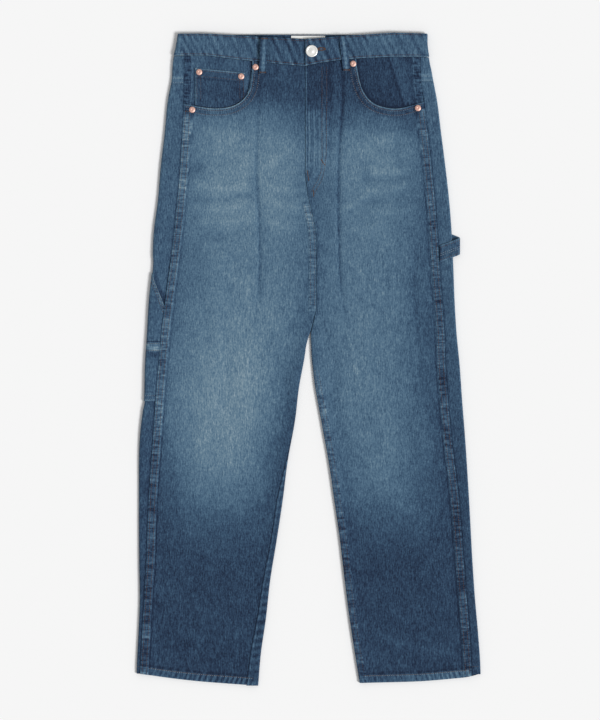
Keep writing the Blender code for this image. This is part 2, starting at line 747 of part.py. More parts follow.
def tool_pocket(name, first, last):
    """Piece of the ruler pocket: from the outseam round the outer fold and under the leg.

    first and last give the drop of its upper and lower edges at each walk from the outer edge.
    """
    side = "right"
    steps = np.array([0.0, 0.33, 0.66, 1.0])[:, None]
    columns = []
    for walk_share in (0.0, 0.5):
        columns.append(("top", walk_share))
    for step in range(FOLD_STEPS + 1):
        columns.append(("fold", step))
    for share in (0.35, 0.7, 1.0):
        columns.append(("under", share))
    outs = []
    heights = []
    drops = []
    for kind, value in columns:
        walk = {"top": -24 * (1 - value), "fold": 0.0, "under": TOOL_REACH * value}.get(kind, 0.0)
        if kind == "top":
            walk = -24 + 20 * value
        if kind == "fold":
            walk = -3 + value
        drop = first(walk) + steps * (last(walk) - first(walk))
        edge = outer_edge(side, drop)
        radius = edge_height("right_outer", drop) / 2
        if kind == "top":
            seam = out_seam(side, drop) + SEAM
            out = seam + value * (edge - radius - seam)
            height = top_height(side, out, drop) + TOOL_PROUD
        elif kind == "fold":
            angle = math.pi * value / FOLD_STEPS
            out = edge - radius + radius * math.sin(angle)
            height = radius + radius * math.cos(angle) + TOOL_PROUD * (1 + math.cos(angle)) / 2
        else:
            out = edge - radius - value * (TOOL_REACH - radius)
            height = np.zeros(drop.shape)
        outs.append(out)
        heights.append(height)
        drops.append(drop)
    grid = to_world(side, np.concatenate(outs, 1), np.concatenate(drops, 1), np.concatenate(heights, 1))
    made = closed_wall(name, grid, -OUTWARD[side], CLOTH)
    paint(made, "washed denim " + name, BLUE, 0.85)


def tool_mouth(walk):
    """Drop of the slanted pocket mouth at a walk from the outer edge, negative on the front."""
    walks = (-24.0, 0.0, TOOL_REACH)
    return np.interp(walk, walks, (TOOL_MOUTH_SEAM_DROP, TOOL_MOUTH_EDGE_DROP, TOOL_MOUTH_BACK_DROP))


def tool_pockets():
    tool_pocket("tool_pocket_upper", tool_mouth, lambda walk: TOOL_SPLIT_DROP - SEAM)
    tool_pocket("tool_pocket_lower", lambda walk: TOOL_SPLIT_DROP + SEAM, lambda walk: TOOL_END_DROP)


def hammer_loop():
    """Strap from the left outseam, bowed clear of the side and sewn on again at the back."""
    side = "left"
    edge = float(outer_edge(side, 322.0))
    seam = float(out_seam(side, 331.0)) + 1.5
    height = float(top_height(side, np.array(edge - 8), np.array(331.0))) + 0.5 + CLOTH
    middle = height / 2 + 0.2
    path = [(seam, height - 0.1), (seam + 8, height + 0.1), (edge - 3, 2 * middle - 0.1)]
    for step in range(9):
        angle = math.pi * step / 8
        path.append((edge + HAMMER_BOW_START + HAMMER_BOW * math.sin(angle), middle + middle * math.cos(angle)))
    path += [(edge - 6, 0.0), (edge - HAMMER_TAIL, 0.0)]
    path = np.array(path)
    length = np.concatenate([[0], np.cumsum(np.hypot(*np.diff(path, axis=0).T))])
    share = length / length[-1]
    top = HAMMER_SEAM_DROP + (HAMMER_BACK_DROP - HAMMER_SEAM_DROP) * share
    drop = top[None, :] + HAMMER_WIDTH * np.array([0, 0.5, 1.0])[:, None]
    out = np.broadcast_to(path[:, 0], drop.shape)
    rise = np.broadcast_to(path[:, 1], drop.shape)
    made = closed_wall("hammer_loop", to_world(side, out, drop, rise), -OUTWARD[side], CLOTH)
    paint(made, "washed denim hammer loop", BLUE, 0.85)


def band_level(across):
    """Height of the band's face on the front: the left end is lifted where it laps the right end."""
    lap = 1 - ease((across - 31) / 32)
    return BAND_TOP_HEIGHT, LAP_LIFT * lap


def waistband():
    """One strip round the waist. Its left end laps over its right end at the front."""
    steps = np.array([0.0, 0.05, 0.5, 0.95, 1.0])[:, None]
    columns = []
    radius = (BAND_TOP_HEIGHT - BAND_UNDER) / 2

    def add_front(across, lift):
        top = band_edge("top", across)
        low = band_edge("low", across)
        drop = top + steps * (low - top)
        columns.append((np.full(drop.shape, across), drop, np.full(drop.shape, BAND_TOP_HEIGHT + lift)))

    def add_side(side, angle):
        top = band_edge("top", OUTWARD[side] * 200.0)
        low = band_edge("low", OUTWARD[side] * 200.0)
        drop = top + steps * (low - top)
        out = outer_edge(side, drop) - radius * (1 - math.sin(angle))
        height = BAND_UNDER + radius * (1 + math.cos(angle))
        columns.append((OUTWARD[side] * out, drop, np.full(drop.shape, height)))

    def add_back(side, share):
        top = back_band_edge(side, "top", share)
        low = back_band_edge(side, "low", share)
        drop = top + steps * (low - top)
        across = OUTWARD[side] * share * outer_edge(side, drop)
        columns.append((across, drop, np.full(drop.shape, BAND_UNDER)))

    for across in (28, 12, -6, -24, -50, -74, -107, -150):
        add_front(float(across), 0.0)
    for step in range(FOLD_STEPS + 1):
        add_side("right", math.pi * step / FOLD_STEPS)
    for share in BACK_SPREAD:
        add_back("right", share)
    for share in (0.0,) + BACK_SPREAD[::-1]:
        add_back("left", share)
    for step in range(FOLD_STEPS + 1):
        add_side("left", math.pi * (1 - step / FOLD_STEPS))
    for across in (150, 127, 100, 78, 64, 56, 48, 40, 32, 17, 4, -4.4):
        add_front(float(across), band_level(across)[1])
    across = np.concatenate([c[0] for c in columns], axis=1)
    drop = np.concatenate([c[1] for c in columns], axis=1)
    height = np.concatenate([c[2] for c in columns], axis=1)
    grid = to_world("left", across, drop, height)
    lift = np.zeros(drop.shape)
    lift[0] = -0.5
    lift[-1] = -0.5
    made = closed_wall("waistband", grid, 1.0, BAND_CLOTH, lift)
    paint(made, "washed denim band", BLUE, 0.85)


def front_loop(side, top_across, low_across):
    """Belt loop on the front: over the band with room for a belt's edge, then down onto the panel."""
    top = float(band_edge("top", top_across)) + 0.8
    low = float(band_edge("low", low_across))
    places = np.array([0, 0.12, 0.3, 0.5, 0.7, 0.88, 1.0]) * (low + 2.5 - top) + top
    drops = np.concatenate([places, [low + 5.5, low + 8.5, low + LOOP_TAIL]])
    share = (drops - top) / (drops[-1] - top)
    middle = top_across + (low_across - top_across) * share
    across = middle[:, None] + LOOP_WIDTH * np.array([-0.5, 0.0, 0.5])[None, :]
    on_band = BAND_TOP_HEIGHT + band_level(across)[1]
    arch = 1.4 * np.sin(math.pi * np.clip((drops - top) / (low + 2.5 - top), 0, 1))[:, None]
    out = OUTWARD[side] * across
    on_panel = top_height(side, out, np.broadcast_to(drops[:, None], out.shape)) + 0.35
    on_panel = np.max(on_panel, axis=1, keepdims=True)
    down = ease((drops - low - 2.5) / 6.5)[:, None]
    height = (np.max(on_band, axis=1, keepdims=True) + arch) * (1 - down) + on_panel * down
    height = height + 0.4 + LOOP_CLOTH
    height = np.broadcast_to(height, across.shape)
    grid = to_world("left", across, np.broadcast_to(drops[:, None], across.shape), height)
    made = closed_wall("belt_loop_front_" + side, grid, -1.0, LOOP_CLOTH)
    paint(made, "denim belt loop front " + side, BLUE, 0.85)


def back_loop(name, across):
    """Belt loop on the back, pressed flat between the band and the surface."""
    height = BAND_UNDER - GAP
    rows = np.array([BACK_BAND_TOP + 1.5, 22.0, BACK_BAND_LOW + 9.0])[:, None]
    places = across + LOOP_WIDTH * np.array([-0.5, 0.5])[None, :]
    grid = to_world("left", np.broadcast_to(places, (3, 2)), np.broadcast_to(rows, (3, 2)), height)
    made = closed_wall("belt_loop_" + name, grid, -1.0, height)
    paint(made, "denim belt loop " + name, BLUE, 0.85)


def label():
    """Plain woven label on the inner face of the back band."""
    under = BAND_UNDER + BAND_CLOTH + GAP
    rows = np.array(LABEL_DROP)[:, None]
    places = np.array(LABEL_ACROSS)[None, :]
    shape = (2, 2)
    grid = to_world("left", np.broadcast_to(places, shape), np.broadcast_to(rows, shape), under + 1.0)
    made = closed_wall("label", grid, -1.0, 1.0)
    paint(made, "white woven label", (0.8, 0.8, 0.78), 0.7)


def turned(name, profile, across, drop, height, sides):
    """Turn a profile of (radius, rise) rows about a vertical axis and close it top and bottom."""
    angles = np.linspace(0, 2 * math.pi, sides, endpoint=False)
    rings = []
    for radius, rise in profile:
        ring = np.stack([radius * np.cos(angles), radius * np.sin(angles), np.full(sides, rise)], axis=-1)
        rings.append(ring)
    points = np.concatenate(rings) + np.array([across, LENGTH / 2 - drop, height])
    faces = [list(range(sides)), list(range(len(points) - sides, len(points)))]
    for ring in range(len(profile) - 1):
        for k in range(sides):
            after = (k + 1) % sides
            faces.append([ring * sides + k, ring * sides + after,
                          (ring + 1) * sides + after, (ring + 1) * sides + k])
    return make_object(name, points, faces)


def button():
    """Shank button through the lapped end of the band."""
    profile = ((6.0, 0.0), (8.6, 0.3), (BUTTON_RADIUS, 1.0), (8.6, 1.9), (7.4, 2.3), (6.4, 1.9), (3.0, 2.2))
    height = BAND_TOP_HEIGHT + LAP_LIFT + GAP
    made = turned("button", profile, BUTTON_PLACE[0], BUTTON_PLACE[1], height, 24)
    paint(made, "nickel button", (0.75, 0.75, 0.74), 0.3, 1.0)


def rivets():
    """Copper rivets at the corners of the pocket mouths."""
    profile = ((RIVET_RADIUS, 0.0), (RIVET_RADIUS, 0.4), (3.6, 1.0), (1.8, 1.2))
    for number, (across, drop, on_coin) in enumerate(RIVET_TABLE, start=1):
        side = "right" if across < 0 else "left"
        ring = np.linspace(0, 2 * math.pi, 12, endpoint=False)
        outs = abs(across) + RIVET_RADIUS * np.cos(ring)
        drops = drop + RIVET_RADIUS * np.sin(ring)
        if on_coin:
            under = np.max(facing_height(side, outs, drops)) + 0.45 + CLOTH
        else:
            under = np.max(top_height(side, outs, drops)) + FELL_LIFT * (abs(across) > 150)
        made = turned("rivet_%d" % number, profile, across, drop, under + 0.35, 14)
        paint(made, "copper rivet %d" % number, (0.62, 0.36, 0.26), 0.35, 1.0)


def clear_scene():
    for old in list(bpy.data.objects):
        bpy.data.objects.remove(old, do_unlink=True)


def main():
    clear_scene()
    waistband()
    for side in ("right", "left"):
        front_panel(side)
        back_panel(side)
        yoke(side)
        pocket_facing(side)
        back_pocket(side)
    coin_pocket()
    tool_pockets()
    hammer_loop()
    for side, top_across, low_across in FRONT_LOOP_TABLE:
        front_loop(side, top_across, low_across)
    for name, across in BACK_LOOP_ACROSS.items():
        back_loop(name, across)
    label()
    button()
    rivets()


main()
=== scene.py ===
# %% Carpenter jeans laid flat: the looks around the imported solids
# %% [markdown]
# The jeans lie on their back with the front up, and the camera looks straight down. The solids hold
# the garment's structure. This script lays a finer piece of cloth over each of them, with the same
# form and with puckers, creases, stitches and a washed finish added, and then lights the scene.
import math

import bpy
import numpy as np
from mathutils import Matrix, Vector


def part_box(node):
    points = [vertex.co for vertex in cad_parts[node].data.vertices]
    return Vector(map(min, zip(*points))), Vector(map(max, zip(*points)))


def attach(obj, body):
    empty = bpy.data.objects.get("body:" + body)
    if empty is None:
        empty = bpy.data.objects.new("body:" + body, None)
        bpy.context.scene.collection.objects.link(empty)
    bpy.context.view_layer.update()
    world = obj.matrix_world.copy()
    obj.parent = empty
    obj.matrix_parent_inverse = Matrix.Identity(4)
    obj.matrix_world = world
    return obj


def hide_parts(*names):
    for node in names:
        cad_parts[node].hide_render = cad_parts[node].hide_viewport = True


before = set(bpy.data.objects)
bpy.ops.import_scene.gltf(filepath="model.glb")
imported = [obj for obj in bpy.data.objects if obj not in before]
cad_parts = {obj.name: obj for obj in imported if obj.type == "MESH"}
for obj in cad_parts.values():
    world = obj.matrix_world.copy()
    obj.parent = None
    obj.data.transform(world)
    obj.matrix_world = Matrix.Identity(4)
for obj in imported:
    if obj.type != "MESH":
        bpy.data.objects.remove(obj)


def note_size():
    """Update the view layer."""
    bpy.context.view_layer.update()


note_size()

# %% Sizes
# %% [markdown]
# All sizes are in millimetres until a mesh is made. "Drop" is the distance below the top of the
# waist, "out" is the distance from the middle line towards a side seam, and heights start at the
# floor. Right and left are the wearer's, so the right leg is at -X. The tables are those of the
# solids, because each piece here keeps its solid's form.
MM = 0.001
LENGTH = 978.8
CLOTH = 1.1
GAP = 0.3
LAYER = CLOTH + GAP
SEAM = GAP / 2
BAND_GAP = 0.5
INSEAM_GAP = 0.25
BAND_CLOTH = 2.4
BAND_UNDER = 1.6
BAND_TOP_HEIGHT = 8.3
LAP_LIFT = BAND_CLOTH + GAP
FELL_LIFT = 0.6
HEM_WIDTH = 12.0
HEM_LIFT = 0.6
CROTCH_DROP = 450.0
CROTCH_BLEND = 25.0
FLY_LIFT = 0.9
FLY_DIP = 0.6
FLY_WIDTH = 31.0
FLY_CLOSE = 240.0
FACING_UNDERLAP = 10.0
FACING_DIP = 1.6
LOOP_WIDTH = 11.0
LOOP_CLOTH = 1.5
LOOP_TAIL = 18.0
TOP_FADE_DROP = 300.0
HEM_FADE_DROP = 700.0
WAIST_DROP = 42.0
HEM_DROP = 968.0

OUTWARD = {"right": -1.0, "left": 1.0}

SIDE_COLUMNS = ("drop", "right_outer", "right_seam", "left_outer", "left_seam")
SIDE_TABLE = (
    (0, 195.8, 186.0, 178.5, 168.0),
    (20, 199.0, 186.0, 178.8, 168.0),
    (40, 203.6, 186.0, 181.8, 167.7),
    (70, 205.2, 186.5, 186.8, 168.3),
    (100, 210.8, 187.0, 192.5, 172.8),
    (150, 215.7, 189.3, 198.8, 178.9),
    (200, 221.6, 192.3, 205.2, 184.5),
    (250, 225.8, 196.7, 210.8, 189.3),
    (300, 232.2, 201.8, 214.7, 193.4),
    (350, 234.5, 207.8, 217.1, 196.4),
    (400, 239.4, 214.7, 219.0, 200.4),
    (450, 242.3, 220.5, 222.0, 203.9),
    (500, 245.4, 225.2, 226.8, 205.5),
    (550, 246.8, 229.2, 230.3, 209.3),
    (600, 252.5, 232.8, 234.3, 214.0),
    (700, 254.3, 239.9, 240.8, 225.5),
    (800, 253.8, 243.6, 246.3, 233.4),
    (850, 253.1, 246.8, 249.8, 237.5),
    (900, 255.0, 249.6, 254.3, 241.4),
    (960, 257.7, 252.4, 258.0, 244.5),
    (980, 257.7, 252.4, 258.0, 244.5),
)
INNER_COLUMNS = ("drop", "right", "left")
INNER_TABLE = (
    (450, 2.2, 2.6),
    (466, -2.5, 3.3),
    (490, -6.5, 4.9),
    (530, -14.0, 10.0),
    (580, -20.0, 18.8),
    (640, -30.8, 29.7),
    (700, -38.5, 38.6),
    (760, -47.5, 47.1),
    (820, -57.3, 54.2),
    (880, -64.0, 61.9),
    (930, -71.3, 69.6),
    (980, -75.5, 77.5),
)
CENTRE_COLUMNS = ("drop", "right", "left")
CENTRE_TABLE = (
    (30, 5.5, -4.5),
    (210, 5.5, -4.5),
    (224, -3.3, -3.3),
    (240, -1.7, -1.7),
    (262, 3.6, 3.6),
    (297, 11.0, 11.0),
    (335, 12.0, 12.0),
    (415, 11.6, 11.6),
    (436, 6.5, 6.5),
    (450, 2.4, 2.4),
)
TURN_COLUMNS = ("drop", "right", "right_run", "left", "left_run")
TURN_TABLE = (
    (425, 0, 0.0, 0, 0.0),
    (450, 80, 0.0, 80, 0.0),
    (466, 95, 0.0, 95, 0.0),
    (530, 108, 0.0, 112, 0.0),
    (580, 118, 0.0, 118, 0.0),
    (640, 170, 0.0, 118, 0.0),
    (660, 180, 2.5, 118, 0.0),
    (700, 180, 7.0, 118, 0.0),
    (760, 180, 6.6, 118, 0.0),
    (820, 180, 8.5, 118, 0.0),
    (880, 180, 11.5, 118, 0.0),
    (930, 180, 13.5, 118, 0.0),
    (980, 180, 15.5, 118, 0.0),
)
HEIGHT_COLUMNS = ("drop", "middle", "right_outer", "left_outer", "inner")
HEIGHT_TABLE = (
    (30, 7.1, 6.1, 6.1, 7.1),
    (60, 6.1, 6.0, 6.0, 6.1),
    (140, 5.6, 5.9, 5.9, 5.6),
    (240, 5.2, 5.9, 5.9, 5.2),
    (290, 4.8, 6.0, 5.9, 4.8),
    (335, 4.2, 6.6, 5.9, 4.2),
    (380, 3.8, 6.6, 5.8, 3.8),
    (425, 3.6, 6.6, 5.7, 3.6),
    (450, 3.6, 6.6, 5.6, 4.6),
    (490, 3.5, 6.6, 5.5, 5.2),
    (560, 3.4, 6.6, 5.4, 5.2),
    (600, 3.3, 5.6, 5.4, 5.2),
    (900, 3.3, 5.2, 5.2, 5.0),
    (980, 3.7, 5.0, 5.0, 5.0),
)
CREASE_COLUMNS = ("drop", "right", "right_depth", "left", "left_depth")
CREASE_TABLE = (
    (40, 70.0, 0.0, 50.0, 0.2),
    (75, 72.0, 0.2, 51.8, 0.7),
    (190, 78.0, 0.5, 45.8, 0.8),
    (310, 73.0, 0.8, 45.8, 0.8),
    (380, 74.0, 0.5, 48.8, 0.5),
    (430, 80.0, 0.0, 56.0, 0.0),
    (600, 112.0, 0.0, 92.0, 0.0),
    (800, 144.0, 0.0, 132.0, 0.0),
    (980, 164.0, 0.0, 164.0, 0.0),
)
BAND_COLUMNS = ("across", "top", "low")
BAND_TABLE = (
    (-205, 1.5, 34.2),
    (-150, 1.5, 34.2),
    (-107, 4.2, 40.0),
    (-72, 6.3, 43.2),
    (-40, 7.6, 47.0),
    (-6, 9.6, 50.0),
    (17, 8.3, 45.0),
    (50, 5.0, 40.5),
    (82, 3.0, 37.8),
    (127, 0.0, 36.0),
    (182, 1.5, 36.0),
)
BACK_BAND_TOP = 3.0
BACK_BAND_LOW = 40.0
BAND_WIDTH = 41.0
SIDE_ACROSS = 200.0
BAND_SLOPE_SHARE = 0.34
SCOOP_COLUMNS = ("step", "right_out", "right_drop", "left_out", "left_drop")
SCOOP_TABLE = (
    (0.00, 84.0, 42.6, 71.3, 39.2),
    (0.15, 84.2, 58.5, 73.5, 58.0),
    (0.30, 86.2, 77.0, 77.5, 76.0),
    (0.42, 90.0, 89.5, 82.5, 89.0),
    (0.55, 101.0, 103.0, 93.0, 102.5),
    (0.70, 120.0, 111.8, 110.0, 111.0),
    (0.85, 148.0, 113.3, 136.0, 113.6),
    (1.00, 186.8, 106.8, 171.8, 104.0),
)
SCOOP_STEPS = (0.0, 0.16, 0.34, 0.48, 0.62, 0.78)
HEM_COLUMNS = ("out", "right", "left")
HEM_TABLE = (
    (70, 979.0, 974.7),
    (120, 975.5, 973.6),
    (168, 971.7, 972.0),
    (215, 966.2, 968.2),
    (236, 963.2, 966.0),
    (258, 960.3, 961.0),
)
YOKE_SIDE_DROP = {"right": 77.0, "left": 73.5}
YOKE_CENTRE_DROP = 105.0
BACK_POCKET_TABLE = ((40, 128), (176, 124), (172, 262), (107, 284), (44, 264))
TOOL_REACH = 75.0
TOOL_MOUTH_WALKS = (-24.0, 0.0, TOOL_REACH)
TOOL_MOUTH_DROPS = (409.5, 360.0, 346.0)
TOOL_SPLIT_DROP = 462.0
TOOL_END_DROP = 552.0
TOOL_PROUD = 0.4
HAMMER_WIDTH = 25.0
HAMMER_SEAM_DROP = 319.0
HAMMER_BACK_DROP = 292.0
HAMMER_BOW = 9.3
HAMMER_BOW_START = 2.0
HAMMER_TAIL = 28.0
COIN_OUT = (95.0, 169.5)
COIN_DROP = (60.5, 53.3)
BUTTON_PLACE = (4.8, 28.0)
RIVET_TABLE = (
    (-163.8, 59.2),
    (-100.8, 65.6),
    (-174.3, 115.5),
    (-79.4, 51.6),
    (66.9, 46.6),
    (164.0, 113.0),
)
FRONT_LOOP_TABLE = (("right", -66.0, -68.4), ("left", 51.2, 57.4))
BACK_LOOP_ACROSS = {"side_right": -98.0, "back": 1.0, "side_left": 98.0}
LABEL_ACROSS = (-26.0, 25.0)
LABEL_DROP = (4.6, 30.0)

# %% [markdown]
# Creases are soft troughs and ridges, each with its own two ends, width, height and change of wash.
# A ridge's paler wash is wear; a trough's darker wash is painted shade.
# They are listed one by one: the drag lines from the crotch, the whiskers at the hips, the soft dents
# over the thighs and knees and the long fold above each hem.
CREASES_COLUMNS = ("side", "out_from", "drop_from", "out_to", "drop_to", "width", "rise", "wash_and_shade")
CREASES = (
    ("right", 92, 231, 172, 227, 5.5, 0.35, 0.07),
    ("right", 96, 243, 176, 249, 4.0, -0.30, -0.05),
    ("right", 88, 256, 168, 262, 5.0, 0.35, 0.06),
    ("right", 84, 277, 160, 283, 5.0, 0.30, 0.06),
    ("right", 100, 296, 158, 305, 5.0, -0.25, -0.04),
    ("right", 20, 238, 60, 228, 5.0, 0.30, 0.07),
    ("right", 14, 262, 62, 250, 6.0, 0.35, 0.08),
    ("right", 20, 292, 58, 283, 6.0, 0.25, 0.06),
    ("right", 30, 176, 66, 200, 5.0, 0.25, 0.07),
    ("right", 98, 156, 150, 150, 9.0, 0.30, 0.06),
    ("right", 108, 186, 168, 194, 7.0, -0.30, -0.05),
    ("right", 71, 250, 73, 386, 7.0, -0.25, -0.05),
    ("right", 118, 420, 96, 560, 16.0, 0.35, 0.02),
    ("right", 172, 372, 150, 470, 10.0, -0.35, -0.04),
    ("right", 60, 470, 22, 600, 9.0, -0.35, -0.05),
    ("right", 88, 640, 60, 730, 10.0, 0.35, 0.03),
    ("right", 176, 560, 190, 690, 12.0, -0.35, -0.04),
    ("right", 96, 716, 176, 738, 9.0, 0.30, 0.02),
    ("right", 120, 820, 204, 806, 12.0, -0.35, -0.02),
    ("right", 100, 892, 168, 906, 9.0, 0.30, 0.02),
    ("left", 50, 266, 94, 237, 4.5, 0.35, 0.08),
    ("left", 94, 237, 146, 228, 4.5, 0.35, 0.07),
    ("left", 86, 206, 150, 203, 5.0, 0.35, 0.08),
    ("left", 92, 268, 152, 264, 5.0, 0.30, 0.06),
    ("left", 84, 221, 148, 215, 4.0, -0.25, -0.06),
    ("left", 78, 254, 140, 248, 4.0, -0.25, -0.05),
    ("left", 58, 296, 112, 285, 5.0, 0.25, 0.05),
    ("left", 14, 150, 36, 176, 5.0, -0.25, -0.05),
    ("left", 100, 160, 132, 154, 9.0, 0.25, 0.06),
    ("left", 163, 325, 164, 430, 6.0, -0.35, -0.09),
    ("left", 86, 420, 92, 540, 16.0, 0.35, 0.03),
    ("left", 40, 490, 64, 640, 9.0, -0.35, -0.05),
    ("left", 150, 560, 172, 700, 12.0, -0.35, -0.04),
    ("left", 96, 634, 140, 716, 12.0, 0.30, 0.03),
    ("left", 84, 770, 170, 790, 11.0, -0.30, -0.02),
    # The four dents below are dark patches of painted shade on the upper fronts near the pocket mouths.
    ("right", 85, 205, 86, 252, 7.0, -0.20, -0.08),
    ("right", 158, 200, 192, 208, 10.0, -0.20, -0.13),
    ("left", 85, 196, 90, 222, 7.0, -0.20, -0.07),
    ("left", 132, 162, 142, 206, 7.0, -0.20, -0.07),
    ("left", 103, 903, 223, 927, 6.0, 0.35, 0.05),
    ("left", 110, 880, 214, 900, 7.0, -0.30, -0.02),
)

# %% Reading the tables
# %% [markdown]
# Every outline comes from a short table that is read along a smooth curve, so that a piece can be
# made as fine as the picture needs without more rows. The same curve is used for a piece and for
# what lies on it, so that stitches and loops stay on the cloth.


def table_curve(table, columns, name, at, smooth=True):
    """Read a named column at any place: a cubic curve through the rows, or straight lines."""
    rows = np.array(table, dtype=float)
    knots = rows[:, 0]
    values = rows[:, columns.index(name)]
    at = np.clip(at, knots[0], knots[-1])
    if not smooth:
        return np.interp(at, knots, values)
    slopes = np.gradient(values, knots)
    i = np.clip(np.searchsorted(knots, at, side="right") - 1, 0, len(knots) - 2)
    span = knots[i + 1] - knots[i]
    t = (at - knots[i]) / span
    share = t * t * (3 - 2 * t)
    swing_in = slopes[i] * span * t * (1 - t) ** 2
    swing_out = slopes[i + 1] * span * t * t * (1 - t)
    return values[i] * (1 - share) + values[i + 1] * share + swing_in - swing_out


def ease(t):
    """Rise smoothly from 0 to 1 as t goes from 0 to 1."""
    t = np.clip(t, 0.0, 1.0)
    return t * t * (3 - 2 * t)


def bell(distance, width):
    """1 where the distance is 0, falling off on both sides as exp(-(distance / width)^2)."""
    return np.exp(-((distance / width) ** 2))


def patch(value, low, high, ramp):
    """1 between low and high, easing to 0 over the ramp on both sides."""
    return ease((value - low + ramp) / ramp) * ease((high + ramp - value) / ramp)


def outer_edge(side, drop):
    """Out to the side fold of a leg."""
    return table_curve(SIDE_TABLE, SIDE_COLUMNS, side + "_outer", drop)


def out_seam(side, drop):
    """Out to the outseam, which lies on the front of a leg."""
    return table_curve(SIDE_TABLE, SIDE_COLUMNS, side + "_seam", drop)


def inner_edge(side, drop, panel):
    """Out to the inner edge: the centre seam above the crotch and the inner fold below it."""
    below = table_curve(INNER_TABLE, INNER_COLUMNS, side, drop)
    if panel == "front":
        above = table_curve(CENTRE_TABLE, CENTRE_COLUMNS, side, drop, smooth=False)
    else:
        above = 1.0 + 1.4 * np.clip(drop / CROTCH_DROP, 0, 1)
    return OUTWARD[side] * np.where(drop < CROTCH_DROP, above, below)


def edge_height(name, drop):
    """Height of the cloth along the middle or a fold."""
    return table_curve(HEIGHT_TABLE, HEIGHT_COLUMNS, name, drop)


def hem_drop(side, out):
    """Drop of the hem."""
    return table_curve(HEM_TABLE, HEM_COLUMNS, side, out)


def band_edge(name, across):
    """Drop of the band's top or lower edge across the front."""
    return table_curve(BAND_TABLE, BAND_COLUMNS, name, across, smooth=False)


def back_band_edge(side, name, share):
    """Drop of the band's edges across the back, at a share of the half width."""
    at_side = band_edge(name, OUTWARD[side] * SIDE_ACROSS)
    middle = BACK_BAND_TOP if name == "top" else BACK_BAND_LOW
    return at_side + (middle - at_side) * min((1 - share) / BAND_SLOPE_SHARE, 1)


def inseam_turn(side, drop):
    """Angle, in radians, and run at which the back panel ends on the inner fold."""
    turn = np.radians(table_curve(TURN_TABLE, TURN_COLUMNS, side, drop, smooth=False))
    run = table_curve(TURN_TABLE, TURN_COLUMNS, side + "_run", drop, smooth=False)
    return turn, run


def scoop_point(side, step):
    """Out and drop of the front pocket's mouth."""
    out = table_curve(SCOOP_TABLE, SCOOP_COLUMNS, side + "_out", step)
    drop = table_curve(SCOOP_TABLE, SCOOP_COLUMNS, side + "_drop", step)
    return out, drop


# %% The form of the cloth
# %% [markdown]
# The front is low in the middle and rolls up to the folds at both sides. Puckers lie on top of this
# form: cloth shrinks along its seams in the wash, so every doubled strip is drawn into short uneven
# waves. The waves run across the seams, and along the hem they lean over, as on a chain-stitched
# hem that was pulled as it was sewn.


def top_height(side, out, drop, hemmed=True):
    """Height of the front's upper face: a low middle, rolled folds, the long crease and the hem."""
    middle = edge_height("middle", drop)
    outer = edge_height(side + "_outer", drop)
    inner = edge_height("inner", drop)
    from_outer = np.clip(outer_edge(side, drop) - out - outer / 2, 0, None)
    from_inner = np.clip(out - inner_edge(side, drop, "front") - inner / 2, 0, None)
    height = middle + (outer - middle) * bell(from_outer, 16)
    height = height + (inner - middle) * bell(from_inner, 14)
    crease = table_curve(CREASE_TABLE, CREASE_COLUMNS, side, drop)
    depth = table_curve(CREASE_TABLE, CREASE_COLUMNS, side + "_depth", drop)
    height = height - depth * bell(out - crease, 3.5)
    if side == "right":
        over_pocket = patch(outer_edge(side, drop) - out, 0, 100, 25) * patch(drop, 345, 560, 25)
        height = height + 1.0 * over_pocket * (1 - bell(from_outer, 16))
    if hemmed:
        inside = ease(from_outer / 4) * ease(from_inner / 4)
        height = height + HEM_LIFT * inside * ease((drop - hem_drop(side, out) + HEM_WIDTH + 0.3) / 0.9)
    return height


def round_edge(distance, radius, turn, run, drop):
    """Follow the cloth from its seam edge: over the run, round the fold, then along the flat.

    Gives the offset from the fold's outermost line and the rise from the face the fold starts at.
    """
    reach = np.where(drop < CROTCH_DROP, np.sin(np.minimum(turn, math.pi / 2)), 1.0)
    apart = np.where(drop < CROTCH_DROP + CROTCH_BLEND, INSEAM_GAP, 0.0)
    distance = distance - np.where(turn + run > 0, 0.0, apart)
    before = np.clip(run - distance, 0, None)
    angle = np.clip(turn - (distance - run) / radius, 0, turn)
    after = np.clip(distance - run - radius * turn, 0, None)
    return apart + radius * (reach - np.sin(angle)) + before + after, radius * (1 - np.cos(angle))


def uneven_wave(along, period, seed):
    """A wave whose period and height drift along a seam: a sine of a wandering phase."""
    phase = 2 * math.pi * along / period
    phase = phase + 1.1 * np.sin(along / 23.0 + seed) + 0.8 * np.sin(along / 9.7 + 2.3 * seed)
    return np.sin(phase) * (0.7 + 0.3 * np.sin(along / 41.0 + 1.7 * seed))


def segment_field(side, out, drop, column):
    """Sum of the placed creases: each is a bell across its line and fades towards both ends."""
    total = np.zeros(np.broadcast(out, drop).shape)
    for row in CREASES:
        crease = dict(zip(CREASES_COLUMNS, row))
        if crease["side"] != side:
            continue
        run_out = crease["out_to"] - crease["out_from"]
        run_drop = crease["drop_to"] - crease["drop_from"]
        length = math.hypot(run_out, run_drop)
        along = ((out - crease["out_from"]) * run_out + (drop - crease["drop_from"]) * run_drop) / length
        aside = ((out - crease["out_from"]) * run_drop - (drop - crease["drop_from"]) * run_out) / length
        aside = aside + 0.05 * length * np.sin(math.pi * np.clip(along / length, 0, 1))
        ends = patch(along, 0.12 * length, 0.88 * length, 0.3 * length)
        total = total + crease[column] * ends * np.exp(-((aside / crease["width"]) ** 2))
    return total


def outseam_strip(side, out, drop):
    """1 on the felled strip inside the outseam."""
    inside = out_seam(side, drop) - out
    return ease((12.4 - inside) / 0.7) * ease((inside + 0.2) / 0.8)


def inseam_strip(side, out, drop):
    """1 on the felled strip along the centre seam or inseam, where the front carries it."""
    inside = out - inner_edge(side, drop, "front")
    strip = ease((11.6 - inside) / 0.8)
    if side == "left":
        return strip * ease((drop - 500) / 30)
    return strip * patch(drop, 262, 410, 20)


